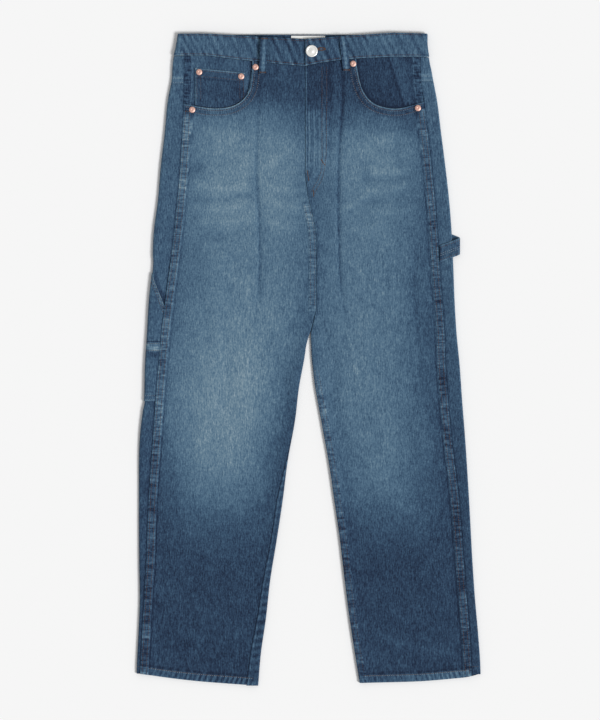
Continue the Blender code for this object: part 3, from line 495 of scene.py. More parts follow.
def hem_strip(side, out, drop):
    """1 on the turned-up hem."""
    return ease((drop - hem_drop(side, out) + HEM_WIDTH + 0.3) / 1.2)


def puckers(side, out, drop):
    """Short waves on the doubled strips, from -1 to 1, leaning over along the hem."""
    seed = 1.0 if side == "right" else 2.6
    wave = outseam_strip(side, out, drop) * uneven_wave(drop + 0.5 * out, 9.5, seed)
    wave = wave + inseam_strip(side, out, drop) * uneven_wave(drop - 0.4 * out, 8.5, seed + 1)
    from_hem = hem_drop(side, out) - drop
    rope = uneven_wave(out + 0.4 * from_hem, 7.5, seed + 2)
    hem = hem_strip(side, out, drop)
    return wave * (1 - hem) + hem * rope


def front_relief(side, out, drop):
    """Fine height of a front: placed creases, seam puckers and a faint overall unevenness."""
    inside = ease((outer_edge(side, drop) - 8 - out) / 10)
    relief = segment_field(side, out, drop, "rise") * inside
    relief = relief + (0.10 + 0.12 * hem_strip(side, out, drop)) * puckers(side, out, drop)
    drift = np.sin(out / 19 + 1.3 * np.sin(drop / 47)) * np.sin(drop / 31 + 0.9 * np.sin(out / 29))
    return relief + 0.10 * drift


def fly_shift(side, out, drop):
    """The left front is raised over the fly and the right front's edge passes under it."""
    closed = ease((FLY_CLOSE - drop) / 16)
    if side == "left":
        width = FLY_WIDTH * ease((FLY_CLOSE - drop) / 60)
        return FLY_LIFT * closed * ease((width - 4.5 - out + 6) / 6)
    return -FLY_DIP * closed * ease((7.5 - out) / 4)


def front_surface(side, out, drop):
    """Height of a front's finished face, for stitches and what else lies on it."""
    radius = edge_height("inner", drop) / 2
    inside = np.clip(out - inner_edge(side, drop, "front"), 0.3, radius)
    loss = (radius - np.sqrt(radius**2 - (radius - inside) ** 2)) * (drop > CROTCH_DROP)
    strips = np.maximum(outseam_strip(side, out, drop), inseam_strip(side, out, drop))
    height = top_height(side, out, drop) - loss + fly_shift(side, out, drop)
    return height + FELL_LIFT * strips + front_relief(side, out, drop)


# %% The wash
# %% [markdown]
# The denim was rubbed pale along the thighs and the knees and left dark at the shins and sides. The
# wash is one number at each point, from 0 for the darkest blue to 1 for the palest, so it can be
# worked out from where the point lies. A table gives the pale zone's middle, half width and level
# down each leg, and seams, hems and creases add to it: wear on their raised edges and ridges, and
# painted shade in the grooves and troughs beside them, so the number holds painted shade as well.
WASH_COLUMNS = (
    "drop", "right_middle", "right_half", "right_level", "left_middle", "left_half", "left_level")
WASH_TABLE = (
    (40, 90, 90, 0.24, 80, 80, 0.16),
    (90, 80, 80, 0.22, 100, 80, 0.20),
    (128, 104, 106, 0.50, 90, 80, 0.36),
    (160, 96, 118, 0.61, 92, 88, 0.56),
    (250, 94, 122, 0.63, 90, 94, 0.54),
    (330, 92, 120, 0.57, 88, 98, 0.53),
    (430, 106, 118, 0.61, 84, 98, 0.53),
    (560, 126, 98, 0.68, 90, 92, 0.53),
    (620, 134, 84, 0.66, 104, 86, 0.52),
    (680, 134, 76, 0.53, 112, 80, 0.45),
    (730, 136, 74, 0.32, 122, 76, 0.31),
    (780, 140, 74, 0.21, 130, 76, 0.18),
    (860, 150, 80, 0.16, 140, 80, 0.16),
    (980, 160, 80, 0.15, 150, 80, 0.17),
)
WASH_EDGE = 0.17


def front_wash_and_shade(side, out, drop):
    """Wash of a front: a pale zone that fades at both sides, changed by creases and seams, whose darker
    troughs and grooves are painted shade.
    """
    middle = table_curve(WASH_TABLE, WASH_COLUMNS, side + "_middle", drop)
    half = table_curve(WASH_TABLE, WASH_COLUMNS, side + "_half", drop)
    level = table_curve(WASH_TABLE, WASH_COLUMNS, side + "_level", drop)
    wash_and_shade = WASH_EDGE + (level - WASH_EDGE) * np.exp(-(np.abs((out - middle) / half) ** 3))
    wash_and_shade = wash_and_shade + segment_field(side, out, drop, "wash_and_shade")
    crease = table_curve(CREASE_TABLE, CREASE_COLUMNS, side, drop)
    depth = table_curve(CREASE_TABLE, CREASE_COLUMNS, side + "_depth", drop)
    # The long crease's trough is darkened here: painted shade.
    wash_and_shade = wash_and_shade - 0.26 * depth * bell(out - crease, 2.4)
    return wash_and_shade + seam_wear_and_shade(side, out, drop)


def seam_wear_and_shade(side, out, drop):
    """Seams wear pale on their raised edges; the dark grooves beside the felled strips and above the hem are
    painted shade.
    """
    inside = out_seam(side, drop) - out
    strip = outseam_strip(side, out, drop)
    seed = 2.2 if side == "right" else 5.1
    wash_and_shade = strip * (0.02 + 0.07 * np.sin(drop / 17 + 1.4 * np.sin(drop / 41 + seed)))
    wash_and_shade = wash_and_shade + 0.14 * bell(inside - 11.6, 0.9) + 0.13 * bell(inside - 1.2, 0.9)
    # Painted shade: a dark groove just beyond the felled outseam strip's inner edge.
    wash_and_shade = wash_and_shade - 0.20 * bell(inside - 13.8, 1.2)
    from_inner = out - inner_edge(side, drop, "front")
    inner = inseam_strip(side, out, drop)
    # The inseam strip is paler as wear, with a dark groove of painted shade beside its edge.
    wash_and_shade = wash_and_shade + 0.06 * inner - 0.14 * inner * bell(from_inner - 12.4, 1.2)
    hem = hem_strip(side, out, drop)
    pale = 0.08 + (0.16 * ease((out - 90) / 130) if side == "left" else 0.05 * ease((out - 120) / 120))
    edge = hem_drop(side, out) - drop
    wash_and_shade = wash_and_shade + hem * pale + 0.12 * bell(edge, 1.5)
    # Painted shade: a dark groove just above the turned-up hem's edge.
    hem_groove_shade = bell(edge - HEM_WIDTH - 1.8, 1.8)
    wash_and_shade = wash_and_shade - (0.12 - 0.08 * uneven_wave(out, 14.0, seed)) * hem_groove_shade
    return wash_and_shade + (0.04 + 0.14 * hem) * puckers(side, out, drop)


# %% From a grid of points to a piece of cloth
# %% [markdown]
# A sheet of cloth is a surface of two parameters: rows that run across it and columns that run down
# it. The border is turned in by the cloth's thickness, so an edge looks like cut and folded cloth.
# Where the inside shows as well, the sheet is closed with a second face.


def to_world(side, out, drop, height):
    """Stack out, drop and height into points, in millimetres from the middle of the jeans."""
    out, drop, height = np.broadcast_arrays(out, drop, height)
    return np.stack([OUTWARD[side] * out, LENGTH / 2 - drop, height], axis=-1)


def grid_normals(grid, facing):
    """Unit normals: the cross product of the two directions of the grid, turned by facing."""
    normals = facing * np.cross(np.gradient(grid, axis=1), np.gradient(grid, axis=0))
    return normals / np.maximum(np.linalg.norm(normals, axis=-1, keepdims=True), 1e-9)


def rows_of_quads(index):
    """Faces between neighbouring rows and columns of an index grid."""
    quads = np.stack([index[:-1, :-1], index[:-1, 1:], index[1:, 1:], index[1:, :-1]], axis=-1)
    return quads.reshape(-1, 4)


def mesh_piece(name, points, faces, smooth=True):
    """Make a mesh at the origin from points in millimetres and faces with four corners."""
    points = np.asarray(points, dtype=np.float32).reshape(-1, 3) * MM
    faces = np.asarray(faces, dtype=np.int32)
    mesh = bpy.data.meshes.new(name)
    mesh.vertices.add(len(points))
    mesh.vertices.foreach_set("co", points.ravel())
    mesh.loops.add(faces.size)
    mesh.loops.foreach_set("vertex_index", faces.ravel())
    mesh.polygons.add(len(faces))
    mesh.polygons.foreach_set("loop_start", np.arange(0, faces.size, faces.shape[1], dtype=np.int32))
    mesh.update(calc_edges=True)
    mesh.validate()
    if smooth:
        mesh.shade_smooth()
        mesh.set_sharp_from_angle(angle=math.radians(50))
    piece = bpy.data.objects.new(name, mesh)
    bpy.context.scene.collection.objects.link(piece)
    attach(piece, "root")
    return piece


def set_attribute(piece, name, values):
    """Store one number for each vertex under a name that a material can read."""
    attribute = piece.data.attributes.new(name, "FLOAT", "POINT")
    attribute.data.foreach_set("value", np.asarray(values, dtype=np.float32).ravel())


def cloth_piece(name, grid, facing, wash_and_shade, lift=0.0, thickness=CLOTH, closed=False, ribs=None):
    """A sheet: the grid moved out by the lift, with its border turned in by the thickness.

    The wash with its painted shade, and the share of seam ribs if there are any, are stored on it for the
    material.
    """
    normals = grid_normals(grid, facing)
    lift = np.broadcast_to(np.asarray(lift, dtype=float), grid.shape[:2])
    outer = grid + normals * lift[..., None]
    rows, cols = grid.shape[:2]
    count = rows * cols
    index = np.arange(count).reshape(rows, cols)
    border = np.concatenate([index[0, :-1], index[:-1, -1], index[-1, :0:-1], index[:0:-1, 0]])
    inner = (grid - normals * thickness).reshape(-1, 3)
    if closed:
        under = border + count
        points = np.concatenate([outer.reshape(-1, 3), inner])
        back = rows_of_quads(index + count)[:, ::-1]
    else:
        under = np.arange(len(border)) + count
        points = np.concatenate([outer.reshape(-1, 3), inner[border]])
        back = np.empty((0, 4), dtype=int)
    rim = np.stack([np.roll(border, -1), border, under, np.roll(under, -1)], axis=-1)
    faces = np.concatenate([rows_of_quads(index), back, rim])
    if facing < 0:
        faces = faces[:, ::-1]
    piece = mesh_piece(name, points, faces)
    for attribute, values in (("wash_and_shade", wash_and_shade), ("ribs", 0.0 if ribs is None else ribs)):
        values = np.broadcast_to(values, grid.shape[:2]).ravel()
        set_attribute(piece, attribute, np.concatenate([values, values if closed else values[border]]))
    return piece


def finish_cloth(piece, node, material):
    """Give a sheet its material, hide its solid and print its number of faces."""
    piece.data.materials.append(material)
    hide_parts(node)
    print(piece.name, len(piece.data.polygons), "faces")


def spread_rows(level, first, last):
    """Bend level rows so that the first follows the top edge and the last follows the hem."""
    top_share = np.clip((TOP_FADE_DROP - level) / (TOP_FADE_DROP - level[0]), 0, 1)
    hem_share = np.clip((level - HEM_FADE_DROP) / (level[-1] - HEM_FADE_DROP), 0, 1)
    return level + (first - level[0]) * top_share + (last - level[-1]) * hem_share


def column_places(counts):
    """Fractional column numbers: counts gives how many steps each coarse column is split into."""
    places = [np.linspace(k, k + 1, n, endpoint=False) for k, n in enumerate(counts)]
    return np.concatenate(places + [[float(len(counts))]])


# %% Materials
# %% [markdown]
# Denim is blue warp over a white weft, so wear shows as a change from dark to pale blue and as
# short streaks along the warp. One material reads the wash, which also holds painted shade, from
# each piece, adds the streaks with stretched noise and turns the sum into a colour. Thread, tape and
# metal are plain.


def colour(text):
    """Linear colour of an sRGB hex value."""
    parts = [int(text[k:k + 2], 16) / 255 for k in (0, 2, 4)]
    return tuple(p / 12.92 if p <= 0.04045 else ((p + 0.055) / 1.055) ** 2.4 for p in parts) + (1.0,)


def add_node(material, kind, **values):
    """Add a shader node. Names with a capital first letter set sockets, others set properties."""
    node = material.node_tree.nodes.new(kind)
    for name, value in values.items():
        if name[0].isupper():
            node.inputs[name.replace("_", " ")].default_value = value
        else:
            setattr(node, name, value)
    return node


def new_material(name, base, roughness, metallic=0.0):
    """A Principled material with a plain colour."""
    material = bpy.data.materials.new(name)
    material.use_nodes = True
    shader = material.node_tree.nodes["Principled BSDF"]
    shader.inputs["Base Color"].default_value = colour(base)
    shader.inputs["Roughness"].default_value = roughness
    shader.inputs["Metallic"].default_value = metallic
    return material, shader


DENIM_STOPS = (
    (0.00, "16243a"),
    (0.18, "283d56"),
    (0.36, "3a556e"),
    (0.56, "526f86"),
    (0.72, "6a8495"),
    (1.00, "9aacb6"),
)
STREAK_SCALE = (820.0, 120.0, 400.0)
FLECK_SCALE = (560.0, 360.0, 400.0)
BLOTCH_SCALE = (46.0, 30.0, 40.0)
RIB_SCALE = (70.0, 330.0, 70.0)
RIB_STRENGTH = 0.9


def noise_level(material, place, scale, detail, roughness):
    """Noise from 0 to 1 over the object's own coordinates, stretched by scale."""
    links = material.node_tree.links
    mapping = add_node(material, "ShaderNodeMapping", Scale=scale)
    noise = add_node(material, "ShaderNodeTexNoise", Scale=1.0, Detail=detail, Roughness=roughness)
    links.new(place.outputs["Object"], mapping.inputs["Vector"])
    links.new(mapping.outputs["Vector"], noise.inputs["Vector"])
    return noise.outputs["Fac"]


def math_node(material, operation, first, second):
    """One sum or product of two sockets or numbers."""
    node = add_node(material, "ShaderNodeMath", operation=operation)
    for socket, value in zip(node.inputs, (first, second)):
        if isinstance(value, (int, float)):
            socket.default_value = value
        else:
            material.node_tree.links.new(value, socket)
    return node.outputs["Value"]


def denim_material(name):
    """Denim: the wash attribute, with its painted shade, plus streaks, flecks and blotches, through a ramp of
    blues.
    """
    material, shader = new_material(name, "3a556e", 0.88)
    links = material.node_tree.links
    place = add_node(material, "ShaderNodeTexCoord")
    wash_and_shade = add_node(material, "ShaderNodeAttribute", attribute_name="wash_and_shade").outputs["Fac"]
    streak = noise_level(material, place, STREAK_SCALE, 2.0, 0.55)
    fleck = noise_level(material, place, FLECK_SCALE, 1.0, 0.5)
    blotch = noise_level(material, place, BLOTCH_SCALE, 3.0, 0.6)
    ribs = add_node(material, "ShaderNodeAttribute", attribute_name="ribs").outputs["Fac"]
    ribs = math_node(material, "MULTIPLY", ribs, RIB_STRENGTH)
    rib = noise_level(material, place, RIB_SCALE, 1.0, 0.5)
    total = wash_and_shade
    for noise, strength in ((streak, 0.68), (fleck, 0.45), (blotch, 0.20), (rib, ribs)):
        centred = math_node(material, "SUBTRACT", noise, 0.5)
        total = math_node(material, "ADD", total, math_node(material, "MULTIPLY", centred, strength))
    ramp = add_node(material, "ShaderNodeValToRGB")
    stops = ramp.color_ramp.elements
    while len(stops) < len(DENIM_STOPS):
        stops.new(0.5)
    for stop, (position, text) in zip(stops, DENIM_STOPS):
        stop.position = position
        stop.color = colour(text)
    links.new(total, ramp.inputs["Fac"])
    links.new(ramp.outputs["Color"], shader.inputs["Base Color"])
    bump = add_node(material, "ShaderNodeBump", Strength=0.5, Distance=0.0004)
    weave = math_node(material, "ADD", streak, fleck)
    links.new(weave, bump.inputs["Height"])
    links.new(bump.outputs["Normal"], shader.inputs["Normal"])
    shader.inputs["Specular IOR Level"].default_value = 0.15
    shader.inputs["Sheen Weight"].default_value = 0.08
    return material


DENIM = denim_material("washed indigo denim")
SHADED_DENIM = denim_material("shaded indigo denim")
TAPE = new_material("plain white woven tape", "e9e9e6", 0.8)[0]
TOBACCO = new_material("tobacco cotton thread", "5f4433", 0.75)[0]
# Grey grains are pale thread; where they lie just beside a tobacco row they are painted highlights between
# the stitches.
GREY_THREAD_AND_HIGHLIGHT = new_material("washed grey blue thread", "8e9eaa", 0.8)[0]
NICKEL = new_material("satin nickel", "f8f8f4", 0.35, 0.5)[0]
COPPER = new_material("washed copper", "dcb0a2", 0.45, 0.5)[0]

# %% Fronts
# %% [markdown]
# Each front starts at the inseam, comes round the inner fold and runs to the outseam. Its top edge
# follows the band and then dives along the pocket mouth. It could be cut out of a wider sheet, but a
# grid whose first row already is that edge keeps the border clean, so the rows are bent to it.
SEAM_WALK = np.concatenate([[INSEAM_GAP], np.linspace(0.6, 12.5, 16)])
BODY_SPLITS = (16, 10, 4, 4, 5, 10, 10, 10, 10, 10, 2, 8, 1)
FIRST_SCOOP = 5
LAST_SCOOP = 10
BODY_SHARES = (0.15, 0.32, 0.49, 0.66, 0.83, 1.0)
FRONT_LEVELS = np.linspace(40, 970, 500)[:, None]
BACK_LEVELS = np.linspace(90, 970, 420)[:, None]


def body_columns(side, drop, start):
    """Out of the coarse columns between the felled centre strip and the outseam."""
    crease = table_curve(CREASE_TABLE, CREASE_COLUMNS, side, drop)
    seam = out_seam(side, drop)
    last = seam - 12.5
    columns = [start, start + 0.6 * (crease - 5 - start), crease - 5, crease, crease + 5]
    columns += [crease + 5 + share * (last - crease - 5) for share in BODY_SHARES]
    return columns + [seam - 11.9, seam - 0.75, seam - SEAM]


def blend_columns(columns, place):
    """Straight blend between the two coarse columns on either side of each place."""
    return sum(np.clip(1 - np.abs(place - k), 0, 1) * column for k, column in enumerate(columns))


def front_out(side, drop, place):
    """Out and loss of height over a front: round the inner fold, then across the body."""
    turn, run = inseam_turn(side, drop)
    above = math.radians(98) * ease((drop - CROTCH_DROP + CROTCH_BLEND) / CROTCH_BLEND)
    front_turn = np.where(drop < CROTCH_DROP, above, math.pi - turn)
    radius = edge_height("inner", drop) / 2
    walk = np.concatenate([SEAM_WALK[:-1], np.full(len(place), SEAM_WALK[-1])])[None, :]
    offset, loss = round_edge(walk, radius, front_turn, 0.0, drop)
    out = inner_edge(side, drop, "front") + offset + run
    body = len(SEAM_WALK) - 1
    columns = body_columns(side, drop[:, body:], out[:, body:])
    out[:, body:] = blend_columns(columns, place[None, :])
    loss[:, body:] = loss[:, body:] * (place[None, :] == 0)
    return out, loss


def front_top(side, place):
    """Out and drop of a front's top edge: along the band, then round the pocket mouth."""
    steps = np.linspace(0, 1, 201)
    outs, drops = scoop_point(side, steps)
    walk = np.full((1, len(SEAM_WALK) + len(place) - 1), WAIST_DROP)
    plain = front_out(side, walk, place)[0][0]
    rim = front_out(side, np.full(walk.shape, drops[-1]), place)[0][0]
    body = len(SEAM_WALK) - 1
    top_out = plain.copy()
    start = body_columns(side, np.array(WAIST_DROP), plain[body])[FIRST_SCOOP - 1]
    near = (place > FIRST_SCOOP - 1) & (place < FIRST_SCOOP)
    top_out[body:][near] = start + (outs[0] - start) * (place[near] - FIRST_SCOOP + 1)
    top_drop = band_edge("low", OUTWARD[side] * top_out) + BAND_GAP
    on_scoop = (place >= FIRST_SCOOP) & (place <= LAST_SCOOP)
    step = np.interp(place[on_scoop], np.arange(FIRST_SCOOP, LAST_SCOOP + 1), SCOOP_STEPS)
    top_out[body:][on_scoop], top_drop[body:][on_scoop] = scoop_point(side, step)
    beyond = place > LAST_SCOOP
    end = scoop_point(side, SCOOP_STEPS[-1])[0]
    seam = np.max(rim)
    share = (rim[body:][beyond] - rim[body:][on_scoop][-1]) / (seam - rim[body:][on_scoop][-1])
    top_out[body:][beyond] = end + share * (seam - end)
    top_drop[body:][beyond] = np.interp(top_out[body:][beyond], outs[steps > 0.5], drops[steps > 0.5])
    return top_out, top_drop


def front_piece(side):
    """A front: rows bent between its top edge and its hem, then raised to the finished form."""
    place = column_places(BODY_SPLITS)
    top_out, top_drop = front_top(side, place)
    low_out = front_out(side, np.full((1, len(top_out)), HEM_DROP), place)[0]
    drop = spread_rows(FRONT_LEVELS, top_drop[None, :], hem_drop(side, low_out))
    out, loss = front_out(side, drop, place)
    share = np.clip((TOP_FADE_DROP - FRONT_LEVELS) / (TOP_FADE_DROP - FRONT_LEVELS[0]), 0, 1) ** 2
    out = out + (top_out - out[0])[None, :] * share
    height = top_height(side, out, drop) - loss + fly_shift(side, out, drop) + front_relief(side, out, drop)
    strips = np.maximum(outseam_strip(side, out, drop), inseam_strip(side, out, drop))
    wash_and_shade = front_wash_and_shade(side, out, drop) + mouth_wash(side, out, drop)
    if side == "left":
        wash_and_shade = wash_and_shade + fly_wear_and_shade(out, drop)
    grid = to_world(side, out, drop, height)
    return cloth_piece("front_" + side, grid, -OUTWARD[side], wash_and_shade, FELL_LIFT * strips, ribs=strips)


def mouth_distance(side, out, drop):
    """Distance from the pocket mouth's curve."""
    outs, drops = scoop_point(side, np.linspace(0, 1, 90))
    flat_out, flat_drop = np.ravel(out), np.ravel(drop)
    near = flat_drop < 135
    distance = np.full(flat_out.shape, 99.0)
    gaps = np.hypot(flat_out[near][:, None] - outs, flat_drop[near][:, None] - drops)
    distance[near] = np.min(gaps, axis=1)
    return distance.reshape(np.shape(out))


def mouth_wash(side, out, drop):
    """The pocket mouth is worn pale along its edge and its hem lies darker inside the stitches."""
    distance = mouth_distance(side, out, drop)
    pale = 0.50 * bell(distance, 1.3)
    return pale - 0.07 * patch(distance, 3, 10, 1.5) - 0.06 * bell(distance - 12.5, 2)


def fly_wear_and_shade(out, drop):
    """The fly is rubbed pale in short upright streaks; it is dark beside its stitches and along the front's
    edge at the crotch, as painted shade.
    """
    rubbed = patch(drop, 122, 196, 18) * patch(out, 0, 22, 4)
    streaks = rubbed * (0.10 + 0.16 * np.sin(out * 1.25 + 0.6 * np.sin(drop / 15)) * np.sin(out * 0.43 + 1))
    edge = bell(out + 3.6, 0.9) * patch(drop, 50, 208, 6)
    # Painted shade: a dark groove beside the outer row of fly stitches, and a dark line along the front's
    # edge at the crotch.
    beside = bell(out - 31.5, 3.0) * patch(drop, 50, 190, 16)
    step = bell(out - 13.2, 1.6) * patch(drop, 292, 415, 16)
    above = patch(drop, 40, 104, 20) * patch(out, 0, 34, 8)
    return streaks + 0.30 * edge - 0.07 * beside - 0.12 * step - 0.06 * above


for leg in ("right", "left"):
    made = front_piece(leg)
    finish_cloth(made, "front_panel_" + leg, DENIM)

# %% Backs and yokes
# %% [markdown]
# A back is a strip beside the outseam, the outer fold, the whole underside and the inner fold, so
# one grid goes all round the leg. The underside stays flat where it rests. The strip that shows is
# darker than the front and is rubbed pale only along the fold itself.
UNDER_PLACES = np.array((0.93, 0.8, 0.66, 0.52, 0.41, 0.30, 0.21, 0.12))
INNER_PLACES = np.concatenate([np.linspace(1.0, 0.3, 12), np.linspace(0.26, 0.0, 8)])
TOP_PLACES = np.linspace(0.0, 0.9, 9)
FOLD_PLACES = np.linspace(0.0, 1.0, 15)


def underlay(side, out, drop, under):
    """How far the back lies inside the outermost face, to leave room for what lies on it."""
    edge = outer_edge(side, drop)
    flat = ease((edge - 6 - out) / 7) * (under == 1)
    depth = LAYER * flat * patch(out, 22, 215, 12) * patch(drop, 100, 288, 12)
    reach = edge - out
    if side == "right":
        return np.maximum(depth, LAYER * patch(reach, 0, 84, 26) * patch(drop, 346, 554, 14))
    return np.maximum(depth, LAYER * under * patch(reach, 0, 80, 20) * patch(drop, 284, 348, 16))


def outer_section(side, drops_at, rise_at=None):
    """Columns of a back or yoke from the outseam round the outer fold: out, height, drop and wash."""
    columns = []
    drop = drops_at(1.0, True)
    edge = outer_edge(side, drop)
    radius = edge_height(side + "_outer", drop) / 2
    seam = out_seam(side, drop) + SEAM
    base = side_wash(side, drop)
    for share in TOP_PLACES:
        out = seam + share * (edge - radius - seam)
        sunk = underlay(side, out, drop, 0.0)
        wave = uneven_wave(drop - 0.3 * out, 14.0, 4.0)
        height = top_height(side, out, drop) - sunk + TOOL_PROUD * sunk / LAYER + 0.06 * wave
        # Painted shade: a dark line beside the outseam, where the front's felled edge stands over the back.
        wash_and_shade = base + 0.025 * wave - 0.20 * bell(out - seam, 1.6)
        # Painted shadow: on the right the back is darker under and just above the ruler pocket's mouth.
        if side == "right":
            above = np.interp(out - edge, TOOL_MOUTH_WALKS, TOOL_MOUTH_DROPS) - drop
            wash_and_shade = wash_and_shade - 0.18 * patch(above, -20, 9, 6)
        columns.append((out, height, drop, wash_and_shade))
    lift = rise_at(drop) if rise_at else 0.0
    for fold in FOLD_PLACES:
        angle = math.pi * fold
        under = max(-math.cos(angle), 0.0)
        sunk = underlay(side, edge - radius * (1 - math.sin(angle)), drop, under) + lift * fold
        proud = TOOL_PROUD * sunk / LAYER * (1 + math.cos(angle)) / 2 if side == "right" else 0.0
        out = edge - radius + (radius - sunk) * math.sin(angle)
        height = radius + (radius - sunk) * math.cos(angle) + proud
        pale = 0.12 * math.sin(angle) ** 2 + 0.025 * uneven_wave(drop, 14.0, 5.0)
        columns.append((out, height, drop, base + pale))
    return columns


def side_wash(side, drop):
    """Wash of the strip beside the outseam: middling at the hip and dark from the knee down."""
    return np.interp(drop, (30, 330, 480, 700, 980), (0.40, 0.36, 0.32, 0.22, 0.20))


def back_piece(side):
    """A back: the outer section, the flat underside and the inner fold up to the inseam."""
    side_drop = YOKE_SIDE_DROP[side]

    def drops_at(share, on_top):
        """Drops down a column whose distance out is a share of the half width."""
        first = side_drop if on_top else side_drop + (YOKE_CENTRE_DROP - side_drop) * (1 - share)
        return spread_rows(BACK_LEVELS, first + SEAM, hem_drop(side, np.array([[76 + share * 180]])))

    columns = outer_section(side, drops_at)
    for share in UNDER_PLACES:
        drop = drops_at(share, False)
        start = inner_edge(side, drop, "back")
        out = start + share * (outer_edge(side, drop) - start)
        columns.append((out, underlay(side, out, drop, 1.0), drop, np.full(drop.shape, 0.30)))
    drop = drops_at(0.0, False)
    turn, run = inseam_turn(side, drop)
    radius = edge_height("inner", drop) / 2
    length = run + radius * turn
    for share in INNER_PLACES:
        distance = INSEAM_GAP + share * np.maximum(length, 4.0)
        offset, rise = round_edge(distance, radius, turn, run, drop)
        out = inner_edge(side, drop, "back") + offset
        on_front = (distance < run) & (turn > 3.1)
        wave = uneven_wave(drop - 0.15 * out, 12.0, 3.0)
        height = np.where(on_front, top_height(side, out, drop) + 0.20 * wave * (share > 0.03), rise)
        wash_and_shade = front_wash_and_shade(side, out, drop) * 0.6 + 0.10 + 0.11 * wave
        # The seam edge is paler as wear, and the dark line at the inseam itself is painted shade.
        wash_and_shade = wash_and_shade + 0.16 * bell(distance - 3.0, 1.1) - 0.20 * bell(distance - 0.4, 1.0)
        columns.append((out, height, drop, wash_and_shade))
    out, height, drop, wash_and_shade = (np.concatenate(group, axis=1) for group in zip(*columns))
    grid = to_world(side, out, drop, height)
    return cloth_piece("back_" + side, grid, -OUTWARD[side], wash_and_shade)


def yoke_piece(side):
    """A yoke: the same section between the band and the back, sunk under the band's edge."""
    steps = np.linspace(0.0, 1.0, 21)[:, None]

    def drops_at(share, on_top):
        """Drops down a column, from the band to the yoke seam."""
        low = YOKE_SIDE_DROP[side]
        if not on_top:
            low = low + (YOKE_CENTRE_DROP - YOKE_SIDE_DROP[side]) * (1 - share)
        top = back_band_edge(side, "low", share) + (0.9 if share == 1.0 else BAND_GAP)
        return top + steps * (low - SEAM - top)

    def rise_at(drop):
        """Height of the underside, which the band holds off the floor."""
        return BAND_UNDER * (1 - ease((steps - 0.25) / 0.35)) + 0 * drop

    columns = outer_section(side, drops_at, rise_at)
    for share in (*UNDER_PLACES, 0.0):
        drop = drops_at(share, False)
        start = inner_edge(side, drop, "back") + SEAM
        out = start + share * (outer_edge(side, drop) - start)
        columns.append((out, rise_at(drop), drop, np.full(drop.shape, 0.30)))
    out, height, drop, wash_and_shade = (np.concatenate(group, axis=1) for group in zip(*columns))
    from_seam = YOKE_SIDE_DROP[side] - drop
    wash_and_shade = wash_and_shade + 0.16 * patch(from_seam, 1.5, 11, 1.5) - 0.10 * bell(from_seam - 6.0, 1.3)
    return cloth_piece("yoke_cloth_" + side, to_world(side, out, drop, height), -OUTWARD[side], wash_and_shade)


for leg in ("right", "left"):
    made = back_piece(leg)
    finish_cloth(made, "back_panel_" + leg, DENIM)
    made = yoke_piece(leg)
    finish_cloth(made, "yoke_" + leg, DENIM)

# %% Pocket facings and the coin pocket
# %% [markdown]
# The facing shows inside the pocket mouth and runs on under it. A patch between four curved sides
# fits that shape. The coin pocket takes its height from the facing, moved out by its own thickness.
PATCH_STEPS = np.linspace(0, 1, 61)
FACING_CORNER = 36


def mouth_side(side, out, drop):
    """Distance from the pocket mouth, positive where the facing shows."""
    outs, drops = scoop_point(side, np.linspace(0, 1, 121))
    gaps = np.hypot(out[..., None] - outs, drop[..., None] - drops)
    nearest = np.argmin(gaps, axis=-1)
    turn = np.gradient(outs)[nearest] * (drop - drops[nearest])
    turn = turn - np.gradient(drops)[nearest] * (out - outs[nearest])
    return -np.sign(turn) * np.min(gaps, axis=-1)


def facing_height(side, out, drop):
    """The facing dips under the pocket mouth and lies level with the front beyond it."""
    shown = ease((mouth_side(side, out, drop) - 1) / 22)
    return top_height(side, out, drop) - FACING_DIP + (FACING_DIP - 0.3) * shown


def along_line(points, share):
    """Points at shares of the way along a line of points."""
    place = share * (points.shape[1] - 1)
    spots = np.arange(points.shape[1])
    return np.stack([np.interp(place, spots, row) for row in points])


